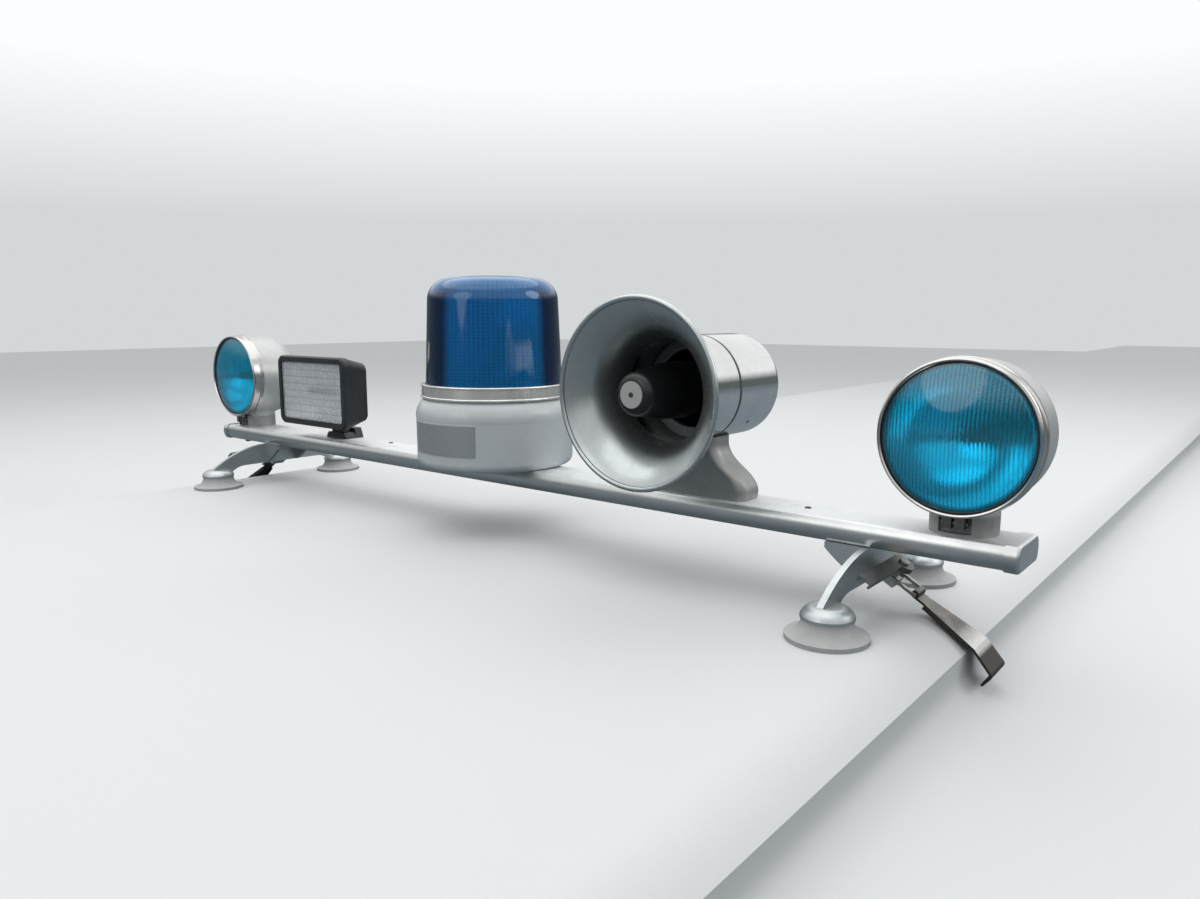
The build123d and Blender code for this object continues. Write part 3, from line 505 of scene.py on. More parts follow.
@dataclass(frozen=True)
class DarkBelow(Finish):
    """A finish with painted shade on whatever lies below a height, thicker in patches."""

    below_shade: Colour = (0.05, 0.05, 0.046)
    below_shade_roughness: float = 0.6
    below_shade_top: float = 0.1085
    below_shade_fade: float = 0.003
    below_shade_amount: float = 0.85
    thin_share: float = 0.6
    cloud_scale: float = 70.0
    cloud_detail: float = 5.0
    cloud_range: Pair = (0.2, 0.6)

    def accent(self, surface: Surface) -> None:
        """Lay the grime.

        Args:
            surface: The material in the making.
        """
        canvas = surface.canvas
        noise = canvas.noise(surface.place, self.cloud_scale, self.cloud_detail)
        # Painted shade below the height, in noisy patches.
        low = canvas.spread(canvas.part(surface.place, "Z"), self.below_shade_top + self.below_shade_fade, self.below_shade_top)
        clouds = canvas.spread(noise, *self.cloud_range, self.thin_share * self.below_shade_amount,
                               self.below_shade_amount)
        surface.cover(canvas.times(low, clouds), self.below_shade, self.below_shade_roughness)


@dataclass(frozen=True)
class StrapWearAndLight(Finish):
    """Plated strap, brighter above its bend from wear and a painted highlight, with painted shade on its
    sides and below the bend. Both ends of the bar alike.
    """

    bend_highlight: Colour = (0.70, 0.69, 0.66)
    bend_highlight_roughness: float = 0.3
    side_shade: Colour = (0.060, 0.055, 0.050)
    side_shade_roughness: float = 0.5
    highlight_start: float = 0.648
    highlight_full: float = 0.664
    bend: float = 0.6655
    fade: float = 0.0035
    scratch_scale: float = 240.0
    scratch_detail: float = 4.0
    scratch_reach: float = 0.008
    top_facing: float = 0.5
    side_facing: float = 0.3

    def accent(self, surface: Surface) -> None:
        """Brighten the run towards the bend, partly as wear and partly as a painted highlight, and paint
        shade on the sides and on what hangs below.

        Args:
            surface: The material in the making.
        """
        canvas = surface.canvas
        reach = canvas.math("ABSOLUTE", canvas.part(surface.place, "X"))
        up = canvas.facing("Z")
        scratches = canvas.noise(surface.place, self.scratch_scale, self.scratch_detail)
        ragged = canvas.math("ADD", reach, canvas.times(scratches, self.scratch_reach))
        # Brighter towards the bend on faces that look up: partly wear, partly the bend's painted highlight.
        rub_and_highlight = canvas.times(canvas.spread(ragged, self.highlight_start, self.highlight_full),
                           canvas.math("GREATER_THAN", up, self.top_facing))
        surface.cover(rub_and_highlight, self.bend_highlight, self.bend_highlight_roughness)
        # Painted shade on the sides and on the strap below the bend.
        side = canvas.math("MAXIMUM", canvas.spread(reach, self.bend, self.bend + self.fade),
                           canvas.math("LESS_THAN", up, self.side_facing))
        surface.cover(side, self.side_shade, self.side_shade_roughness)


class Grooves(Enum):
    """How the fine grooves of a glass run."""

    NONE = "none"
    FLAT = "flat"
    ROUND = "round"


@dataclass(frozen=True)
class Glass:
    """A clear or tinted glass with a little painted shade in its moulded grooves and at grazing angles.

    The pitch holds the spacing across, in metres on a flat glass and in radians on a round one, and the
    spacing up, in metres. The depth holds how much painted shade each of the two sets of grooves gets. The
    edge's painted shade comes in over a range of grazing angles, on faces that look up less than a range.
    """

    name: str
    tint: Colour
    roughness: float = 0.02
    index: float = 1.47
    wave_scale: float = 60.0
    wave_depth: float = 0.0001
    shade: Colour = (0.8, 0.9, 1.0)
    grooves: Grooves = Grooves.NONE
    centre: Vec3 = (0.0, 0.0, 0.0)
    pitch: Pair = (0.004, 0.01)
    depth: Pair = (0.0, 0.0)
    groove_shade: Colour = (0.0, 0.0, 0.0)
    groove_width: float = 0.55
    edge_shade: Colour = (0.0, 0.0, 0.0)
    edge_shade_amount: float = 0.0
    edge_shade_range: Pair = (0.24, 0.36)
    edge_shade_rise: Pair = (0.2, 0.6)
    clearness: float = 1.0
    coat: float = 0.0
    coat_roughness: float = 0.03
    base_shine: float = 0.5
    film_scale: float = 25.0
    film_amount: float = 0.7
    film_tint: float = 0.93
    film_roughness: float = 0.05

    def build(self, effects: SharedEffects) -> bpy.types.Material:
        """Make the material.

        Args:
            effects: The shared shader groups.

        Returns:
            The material.
        """
        material = bpy.data.materials.new(self.name)
        canvas = blank_canvas(material)
        place = canvas.add("ShaderNodeTexCoord").outputs["Object"]
        wear = canvas.group(effects.patches, {
            "Vector": place, "Scale": self.film_scale, "Amount": self.film_amount, "Clean": self.tint,
            "Worn": tuple(self.film_tint * part for part in self.tint), "Clean Roughness": self.roughness,
            "Worn Roughness": self.roughness + self.film_roughness})
        colour = wear["Color"]
        # Painted shade at the bottom of the moulded grooves.
        if self.grooves is not Grooves.NONE:
            colour = canvas.blend(self._groove_mask(canvas, place), colour, self.groove_shade)
        # Painted shade on the sides, at grazing angles.
        if self.edge_shade_amount > 0.0:
            grazing = canvas.add("ShaderNodeLayerWeight", {"Blend": 0.5}).outputs["Facing"]
            rise = canvas.math("ABSOLUTE", canvas.facing("Z"))
            edge = canvas.times(canvas.spread(grazing, *self.edge_shade_range, 0.0, self.edge_shade_amount),
                                canvas.spread(rise, *self.edge_shade_rise, 1.0, 0.0))
            colour = canvas.blend(edge, colour, self.edge_shade)
        waves = canvas.group(effects.relief, {
            "Vector": place, "Scale": self.wave_scale, "Stretch": (1.0, 1.0, 1.0)})["Height"]
        bump = canvas.add("ShaderNodeBump", {"Strength": 1.0, "Distance": self.wave_depth, "Height": waves})
        shader = canvas.add("ShaderNodeBsdfPrincipled", {
            "Base Color": colour, "Roughness": wear["Roughness"], "IOR": self.index,
            "Transmission Weight": self.clearness, "Specular IOR Level": self.base_shine,
            "Coat Weight": self.coat, "Coat Roughness": self.coat_roughness,
            "Normal": bump.outputs["Normal"]})
        clear = canvas.add("ShaderNodeBsdfTransparent", {"Color": self.shade})
        path = canvas.add("ShaderNodeLightPath")
        canvas.show("ShaderNodeOutputMaterial", canvas.add("ShaderNodeMixShader", {
            0: path.outputs["Is Shadow Ray"], 1: shader.outputs[0], 2: clear.outputs[0]}))
        return material

    def _groove_mask(self, canvas: Canvas, place: Socket) -> Socket:
        """Share of painted groove shade: the set's depth at the bottom of a groove, 0 between grooves.

        Args:
            canvas: The material's tree.
            place: Object coordinates.

        Returns:
            The mask.
        """
        parts = canvas.add("ShaderNodeSeparateXYZ", {0: place}).outputs
        if self.grooves is Grooves.ROUND:
            across = canvas.math("ARCTAN2", canvas.math("SUBTRACT", parts["Y"], self.centre[1]),
                                 canvas.math("SUBTRACT", parts["X"], self.centre[0]))
        else:
            side = canvas.math("ABSOLUTE", parts["X"]) if self.centre[0] > 0.0 else parts["X"]
            across = canvas.math("SUBTRACT", side, self.centre[0])
        up = canvas.math("SUBTRACT", parts["Z"], self.centre[2])
        masks = []
        for value, pitch, depth in zip((across, up), self.pitch, self.depth):
            wave = canvas.math("ABSOLUTE", canvas.math("SINE", canvas.times(value, math.pi / pitch)))
            masks.append(canvas.spread(wave, 0.0, self.groove_width, depth, 0.0))
        return canvas.math("MAXIMUM", *masks)


# Points on the axes that turned and grooved finishes run round, and on the middles of the lenses.
HORN_AXIS: Vec3 = (0.342, 0.0, 0.2127)
BEACON_AXIS: Vec3 = (0.003, 0.0, 0.1832)
ROUND_LENS: Vec3 = (0.640, 0.0, 0.1837)
WORK_LENS: Vec3 = (-0.383, 0.0, 0.1702)

FINISHES: dict[str, Finish | Glass] = {
    "bar_aluminium": Finish("Bar_Aluminium", (0.62, 0.63, 0.63), (0.48, 0.48, 0.46), 0.28, 0.40, metallic=1.0,
                            patch_scale=9.0, stretch=(0.02, 1.0, 1.0), relief_scale=1500.0,
                            relief_depth=0.00001, dust=1.3, dust_colour=(0.78, 0.80, 0.81)),
    "cast_silver": Finish("Cast_Silver", (0.53, 0.56, 0.57), (0.39, 0.41, 0.41), 0.34, 0.48, metallic=0.85,
                          relief_scale=700.0, relief_depth=0.00006, dust=0.15),
    "cup_rubber": Finish("Cup_Rubber", (0.48, 0.49, 0.48), (0.33, 0.33, 0.31), 0.6, 0.75,
                         relief_scale=450.0, relief_depth=0.00015, dust=0.2),
    "black_rubber": Finish("Black_Rubber", (0.016, 0.016, 0.016), (0.04, 0.04, 0.038), 0.5, 0.7),
    "lever_steel": Finish("Lever_Steel", (0.24, 0.235, 0.225), (0.12, 0.11, 0.10), 0.3, 0.5, metallic=0.95,
                          stretch=(1.0, 0.05, 1.0), patch_scale=40.0),
    "frame_steel": Finish("Frame_Steel", (0.55, 0.54, 0.51), (0.22, 0.20, 0.18), 0.2, 0.45, metallic=1.0,
                          patch_scale=90.0, patch_amount=0.9),
    "strap_zinc": StrapWearAndLight("Strap_Zinc", (0.25, 0.24, 0.22), (0.08, 0.075, 0.07), 0.36, 0.6, metallic=0.8,
                              patch_scale=45.0, patch_amount=0.9, relief_depth=0.0001),
    "beacon_paint": Finish("Beacon_Enamel", (0.57, 0.60, 0.61), (0.48, 0.50, 0.50), 0.34, 0.48, coat=0.25,
                           relief_scale=260.0, relief_depth=0.00008, dust=0.1),
    "blank_plate": Finish("Blank_Plate", (0.38, 0.40, 0.41), (0.30, 0.31, 0.32), 0.35, 0.5, metallic=0.5,
                          stretch=(1.0, 1.0, 0.05)),
    "polished_band": Finish("Polished_Band", (0.90, 0.89, 0.86), (0.52, 0.49, 0.46), 0.18, 0.36, metallic=0.7,
                            stretch=(1.0, 1.0, 30.0), relief_scale=60.0, relief_depth=0.000005,
                            patch_scale=22.0, patch_amount=0.8),
    "blue_dome": Glass("Blue_Dome", (0.003, 0.27, 0.56), roughness=0.10, index=1.45, shade=(0.10, 0.45, 0.85),
                       grooves=Grooves.ROUND, centre=BEACON_AXIS, pitch=(2 * math.pi / 90, 0.0045),
                       depth=(0.65, 0.6), groove_shade=(0.001, 0.09, 0.26), edge_shade=(0.0, 0.006, 0.03),
                       edge_shade_amount=0.94, clearness=0.66, coat=0.5, base_shine=0.1, wave_depth=0.00003),
    "motor_grey": Finish("Motor_Grey", (0.16, 0.17, 0.18), (0.10, 0.10, 0.11), 0.5, 0.6),
    "rotor_metal": Finish("Rotor_Sheet", (0.58, 0.59, 0.60), (0.42, 0.42, 0.42), 0.3, 0.45, metallic=1.0),
    "silvered_bowl": Finish("Silvered_Bowl", (0.94, 0.94, 0.94), (0.86, 0.86, 0.85), 0.16, 0.28, metallic=1.0,
                            relief=Relief.PLAIN),
    "lamp_trough": Finish("Lamp_Trough", (0.94, 0.95, 0.95), (0.84, 0.85, 0.86), 0.2, 0.34, metallic=0.75,
                          relief=Relief.PLAIN, patch_scale=30.0),
    "clear_glass": Glass("Clear_Glass", (0.98, 0.99, 1.0), shade=(0.98, 0.99, 1.0), grooves=Grooves.FLAT,
                         centre=WORK_LENS, pitch=(0.0055, 0.0115), depth=(0.8, 0.35),
                         groove_shade=(0.26, 0.31, 0.33), clearness=0.76),
    "blue_lens": Glass("Blue_Lens", (0.02, 0.74, 0.95), roughness=0.05, index=1.6, wave_depth=0.00004,
                       shade=(0.2, 0.85, 1.0), grooves=Grooves.FLAT, centre=ROUND_LENS,
                       pitch=(0.0036, 1.0), depth=(0.7, 0.0), groove_shade=(0.002, 0.24, 0.40),
                       clearness=0.93),
    # Bell and drum: painted shade down the horn's throat and a painted dark floor in its bore.
    "horn_aluminium": HornInside("Spun_Aluminium", (0.48, 0.51, 0.51), (0.36, 0.38, 0.38), 0.26, 0.40,
                                 metallic=0.9, relief=Relief.TURNED, centre=HORN_AXIS, pitch=0.0026,
                                 relief_depth=0.000006, patch_scale=12.0, shade_amount=0.1),
    "pedestal_cast": Finish("Pedestal_Casting", (0.31, 0.315, 0.305), (0.21, 0.21, 0.20), 0.42, 0.55,
                            metallic=0.5, relief_scale=500.0, relief_depth=0.00008, dust=0.15),
    "drum_polished": HornInside("Polished_Drum", (0.84, 0.84, 0.83), (0.64, 0.64, 0.62), 0.07, 0.2,
                                metallic=1.0, relief=Relief.TURNED, centre=HORN_AXIS, pitch=0.0016, along=1.0,
                                relief_depth=0.000006, shade_amount=0.85),
    "bullet_black": Finish("Bullet_Black", (0.004, 0.004, 0.005), (0.009, 0.009, 0.009), 0.32, 0.42,
                           relief_depth=0.00001),
    "disc_aluminium": Finish("Nose_Disc", (0.50, 0.50, 0.47), (0.40, 0.40, 0.37), 0.4, 0.5, metallic=0.5,
                             relief=Relief.TURNED, centre=HORN_AXIS, pitch=0.0006),
    # Lamp bowls, pedestals and bezels: painted shade below a height.
    "lamp_silver": DarkBelow("Lamp_Silver", (0.54, 0.55, 0.54), (0.44, 0.44, 0.42), 0.34, 0.48, metallic=0.4,
                             relief_scale=260.0, relief_depth=0.00006, dust=0.1, below_shade=(0.16, 0.16, 0.15),
                             below_shade_top=0.109, below_shade_amount=0.7),
    "bezel_metal": DarkBelow("Bezel_Ring", (0.52, 0.51, 0.49), (0.42, 0.41, 0.39), 0.20, 0.32, metallic=0.95,
                             patch_scale=16.0, patch_amount=0.5, relief_depth=0.00002),
    "bulb_metal": Finish("Bulb_Shade", (0.05, 0.05, 0.05), (0.09, 0.09, 0.09), 0.35, 0.5, metallic=0.6),
    "black_moulding": Finish("Black_Moulding", (0.013, 0.015, 0.016), (0.035, 0.038, 0.04), 0.4, 0.6,
                             relief_scale=1400.0, relief_depth=0.00007, dust=0.12,
                             dust_colour=(0.22, 0.22, 0.22)),
    "screw_dark": Finish("Dark_Screw", (0.06, 0.055, 0.05), (0.14, 0.12, 0.10), 0.4, 0.6, metallic=0.9,
                         patch_scale=300.0),
}

NODE_FINISHES: dict[str, str] = {"work_lamp_reflector": "lamp_trough"}


class FinishShelf:
    """Keeps each finish's material, built when first asked for."""

    def __init__(self) -> None:
        """Start with the shared effects and no materials."""
        self.effects = SharedEffects()
        self._made: dict[str, bpy.types.Material] = {}

    def take(self, slot: str) -> bpy.types.Material:
        """Material of a slot.

        Args:
            slot: The slot's name.

        Returns:
            The material.
        """
        if slot not in self._made:
            self._made[slot] = FINISHES[slot].build(self.effects)
        return self._made[slot]

    def dress_cad(self, record: dict) -> None:
        """Give every CAD node the material of its slot.

        Args:
            record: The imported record.
        """
        for part in record["subparts"]:
            node = frame["nodes"][part["node"]]
            finish = NODE_FINISHES.get(part["node"], part["material_slot"])
            for holder in node.material_slots:
                holder.material = self.take(finish)
            LOG.info("dressed %s in %s", node.name, finish)


def in_scene(name: str, data: bpy.types.ID) -> bpy.types.Object:
    """Put a mesh, lamp or camera into the scene as an object at the origin.

    Args:
        name: The object's name.
        data: What it holds.

    Returns:
        The object.
    """
    holder = bpy.data.objects.new(name, data)
    bpy.context.scene.collection.objects.link(holder)
    return holder


def finished(bm: bmesh.types.BMesh, name: str) -> bpy.types.Mesh:
    """Turn a sketched mesh into a plain one, which frees the sketch.

    Args:
        bm: The sketch.
        name: The mesh's name.

    Returns:
        The mesh.
    """
    mesh = bpy.data.meshes.new(name)
    bm.to_mesh(mesh)
    bm.free()
    return mesh


@dataclass
class Builder:
    """What every sub-assembly shares: the shelf of finishes, and the way a finished mesh joins the object."""

    shelf: FinishShelf

    def object_of(self, name: str, mesh: bpy.types.Mesh, slot: str) -> bpy.types.Object:
        """Put a mesh, already in its place, into the scene with the finish of a slot.

        Args:
            name: The piece's name.
            mesh: Its mesh.
            slot: Its material slot.

        Returns:
            The object.
        """
        mesh.materials.clear()
        mesh.materials.append(self.shelf.take(slot))
        return in_scene(name, mesh)

    def settle(self, piece: bpy.types.Object, body: str, slot: str, replaced: Iterable[str] = ()) -> None:
        """Tie a piece to its body, and hide the nodes that it stands for.

        Args:
            piece: The finished object.
            body: The body it rides on.
            slot: The record's material slot; not used.
            replaced: CAD nodes it stands for.
        """
        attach(piece, body)
        names = tuple(replaced)
        if names:
            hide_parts(*names)
        LOG.info("built %s on %s, faces %d", piece.name, body, len(piece.data.polygons))


class Crease(Enum):
    """Angle in degrees past which an edge stays crisp in smooth shading."""

    LENS = 50.0
    PLAIN = 35.0
    SCREW = 30.0


def smooth(mesh: bpy.types.Mesh, crease: Crease = Crease.PLAIN) -> None:
    """Shade a mesh smooth, with its sharper edges kept crisp.

    Args:
        mesh: The mesh.
        crease: The angle that counts as sharp.
    """
    mesh.polygons.foreach_set("use_smooth", [True] * len(mesh.polygons))
    mesh.set_sharp_from_angle(angle=math.radians(crease.value))
    mesh.update()


def lathe(name: str, profile: Sequence[Pair], centre: Vector, segments: int) -> bpy.types.Mesh:
    """Spin a profile about an axis that runs forward. Points on the axis close the shape as poles.

    Args:
        name: The mesh's name.
        profile: Radius and distance forward of the centre, in order; open ends lie on the axis.
        centre: Where the axis and the distance start.
        segments: Steps round the axis.

    Returns:
        The mesh.
    """
    bm = bmesh.new()
    rings = []
    for radius, forward in profile:
        if radius == 0.0:
            rings.append([bm.verts.new((centre.x, centre.y - forward, centre.z))])
            continue
        ring = []
        for k in range(segments):
            turn = 2 * math.pi * k / segments
            ring.append(bm.verts.new((centre.x + radius * math.cos(turn), centre.y - forward,
                                      centre.z + radius * math.sin(turn))))
        rings.append(ring)
    pairs = list(zip(rings, rings[1:]))
    if len(rings[0]) > 1:
        pairs.append((rings[-1], rings[0]))
    for first, second in pairs:
        for k in range(segments):
            j = (k + 1) % segments
            corners = [first[k % len(first)], first[j % len(first)], second[j % len(second)],
                       second[k % len(second)]]
            bm.faces.new(list(dict.fromkeys(corners)))
    bmesh.ops.recalc_face_normals(bm, faces=bm.faces)
    mesh = finished(bm, name)
    smooth(mesh)
    return mesh


class RibTree:
    """Geometry Nodes tree that raises ribs on the marked side of a lens along its two surface directions."""

    def __init__(self) -> None:
        """Build the tree."""
        canvas, start, end = new_tree(
            "Lens_Ribs", "GeometryNodeTree",
            {"Geometry": Sockets.SHAPE, "Flute Pitch": Sockets.NUMBER, "Flute Depth": Sockets.NUMBER,
             "Band Pitch": Sockets.NUMBER, "Band Depth": Sockets.NUMBER, "Finish": Sockets.FINISH},
            {"Geometry": Sockets.SHAPE})
        given = start.outputs
        lift = None
        for axis, label in (("across", "Flute"), ("up", "Band")):
            place = canvas.add("GeometryNodeInputNamedAttribute", {"Name": axis}).outputs[0]
            turn = canvas.times(canvas.math("DIVIDE", place, given[f"{label} Pitch"]), math.pi)
            wave = canvas.times(canvas.math("ABSOLUTE", canvas.math("SINE", turn)), given[f"{label} Depth"])
            lift = wave if lift is None else canvas.math("ADD", lift, wave)
        mask = canvas.add("GeometryNodeInputNamedAttribute", {"Name": "ribbed"}).outputs[0]
        way = canvas.add("GeometryNodeInputNamedAttribute", {"Name": "outward"}, data_type="FLOAT_VECTOR")
        offset = canvas.add("ShaderNodeVectorMath", {0: way.outputs[0], "Scale": canvas.times(lift, mask)},
                            operation="SCALE")
        moved = canvas.add("GeometryNodeSetPosition", {
            "Geometry": given["Geometry"], "Offset": offset.outputs[0]})
        self.tree = end_shape(canvas, end, moved, given["Finish"])


class FastenerTree:
    """Geometry Nodes tree that puts a slotted screw head on every vertex, along its facing."""

    TOP_SHARE = 0.82
    SLOT_LENGTH = 2.4
    SLOT_HEIGHT = 1.1

    def __init__(self) -> None:
        """Build the tree."""
        canvas, start, end = new_tree(
            "Fastener_Heads", "GeometryNodeTree",
            {"Geometry": Sockets.SHAPE, "Head Radius": Sockets.NUMBER, "Head Height": Sockets.NUMBER,
             "Slot Width": Sockets.NUMBER, "Sides": Sockets.COUNT, "Finish": Sockets.FINISH},
            {"Geometry": Sockets.SHAPE})
        given = start.outputs
        radius, height = given["Head Radius"], given["Head Height"]
        head = canvas.add("GeometryNodeMeshCone", {
            "Vertices": given["Sides"], "Radius Bottom": radius,
            "Radius Top": canvas.times(radius, self.TOP_SHARE), "Depth": height})
        size = canvas.add("ShaderNodeCombineXYZ", {
            "X": canvas.times(radius, self.SLOT_LENGTH), "Y": given["Slot Width"], "Z": height})
        bar = canvas.add("GeometryNodeMeshCube", {"Size": size.outputs[0]})
        high = canvas.add("ShaderNodeCombineXYZ", {"Z": canvas.times(height, self.SLOT_HEIGHT)})
        cutter = canvas.add("GeometryNodeTransform", {
            "Geometry": bar.outputs[0], "Translation": high.outputs[0]})
        cut = canvas.add("GeometryNodeMeshBoolean", {0: head.outputs["Mesh"]}, operation="DIFFERENCE")
        canvas.feed(cut.inputs[1], cutter.outputs[0])
        facing = canvas.add("GeometryNodeInputNamedAttribute", {"Name": "facing"}, data_type="FLOAT_VECTOR")
        turn = canvas.add("FunctionNodeAlignRotationToVector", {"Vector": facing.outputs[0]}, axis="Z")
        heads = canvas.add("GeometryNodeInstanceOnPoints", {
            "Points": given["Geometry"], "Instance": cut.outputs[0], "Rotation": turn.outputs[0]})
        self.tree = end_shape(canvas, end, heads, given["Finish"])


def end_shape(canvas: Canvas, end: bpy.types.Node, shape: bpy.types.Node, finish: Socket) -> NodeTree:
    """End a geometry tree: real geometry in place of instances, with its material set.

    Args:
        canvas: The tree's canvas.
        end: The tree's output node.
        shape: The node that gives the geometry.
        finish: The material.

    Returns:
        The tree.
    """
    real = canvas.add("GeometryNodeRealizeInstances", {"Geometry": shape.outputs[0]})
    painted = canvas.add("GeometryNodeSetMaterial", {"Geometry": real.outputs[0], "Material": finish})
    canvas.feed(end.inputs["Geometry"], painted.outputs[0])
    return canvas.tree


def applied(source: bpy.types.Object, tree: NodeTree, values: dict[str, object]) -> bpy.types.Mesh:
    """Run a Geometry Nodes tree on an object and return the plain mesh, leaving nothing live.

    Args:
        source: The object that carries the input geometry, which is removed.
        tree: The tree to run.
        values: Its inputs by name.

    Returns:
        The finished mesh.
    """
    modifier = source.modifiers.new("build", "NODES")
    modifier.node_group = tree
    for item in tree.interface.items_tree:
        if item.item_type == "SOCKET" and item.in_out == "INPUT" and item.name in values:
            modifier[item.identifier] = values[item.name]
    source.update_tag()
    bpy.context.view_layer.update()
    ready = source.evaluated_get(bpy.context.evaluated_depsgraph_get())
    mesh = bpy.data.meshes.new_from_object(ready)
    source.modifiers.remove(modifier)
    bpy.data.objects.remove(source)
    return mesh


class LensPoint(NamedTuple):
    """One point of a lens: its place on both faces, its rib coordinates and the way in which a rib stands."""

    front: Vector
    back: Vector
    across: float
    up: float
    outward: Vector


@dataclass
class LensMesh:
    """A lens as two matched grids, front and back, joined round the rim. Its back carries the ribs."""

    columns: list[list[LensPoint]] = field(default_factory=list)

    def build(self, name: str, closed: bool = False) -> bpy.types.Mesh:
        """Make the mesh with the attributes that the rib tree reads.

        Args:
            name: The mesh's name.
            closed: Whether the columns run round and meet.

        Returns:
            The mesh.
        """
        bm = bmesh.new()
        across, up, ribbed = (bm.verts.layers.float.new(label) for label in ("across", "up", "ribbed"))
        outward = bm.verts.layers.float_vector.new("outward")
        last, end = len(self.columns) - 1, len(self.columns[0]) - 1
        front, back = [], []
        for grid, mark in ((front, 0.0), (back, 1.0)):
            for i, column in enumerate(self.columns):
                line = []
                for j, point in enumerate(column):
                    vert = bm.verts.new(point.back if mark else point.front)
                    vert[across], vert[up], vert[outward] = point.across, point.up, point.outward
                    rim = j in (0, end) or (not closed and i in (0, last))
                    vert[ribbed] = 0.0 if rim else mark
                    line.append(vert)
                grid.append(line)
        spans = [(i, (i + 1) % (last + 1)) for i in range(last + 1 if closed else last)]
        steps = range(end)
        quads = [[front[i][j], front[k][j], front[k][j + 1], front[i][j + 1]]
                 for i, k in spans for j in steps]
        quads += [[back[i][j + 1], back[k][j + 1], back[k][j], back[i][j]]
                  for i, k in spans for j in steps]
        for i, k in spans:
            quads.append([back[i][0], back[k][0], front[k][0], front[i][0]])
            quads.append([front[i][end], front[k][end], back[k][end], back[i][end]])
        if not closed:
            quads += [[front[0][j], front[0][j + 1], back[0][j + 1], back[0][j]] for j in steps]
            quads += [[back[last][j], back[last][j + 1], front[last][j + 1], front[last][j]] for j in steps]
        for quad in quads:
            bm.faces.new(quad)
        bmesh.ops.recalc_face_normals(bm, faces=bm.faces)
        return finished(bm, name)


@dataclass
class RibbedLens(Builder):
    """What the lenses share: the tree that raises their ribs, and the way a lens is finished."""

    ribs: RibTree

    def finish_lens(self, lens: LensMesh, name: str, slot: str, body: str, node: str, flutes: Pair,
                    bands: Pair, closed: bool = False) -> None:
        """Raise a lens's ribs and let it stand for its CAD node.

        Args:
            lens: The plain lens.
            name: The piece's name.
            slot: Its material slot.
            body: The body it rides on.
            node: The CAD node it stands for.
            flutes: Pitch and depth of the ribs across.
            bands: Pitch and depth of the ribs up.
            closed: Whether the lens runs round and meets.
        """
        draft = self.object_of(name + "_draft", lens.build(name, closed), slot)
        mesh = applied(draft, self.ribs.tree, {
            "Flute Pitch": flutes[0], "Flute Depth": flutes[1], "Band Pitch": bands[0],
            "Band Depth": bands[1], "Finish": self.shelf.take(slot)})
        smooth(mesh, Crease.LENS)
        self.settle(self.object_of(name, mesh, slot), body, slot, [node])


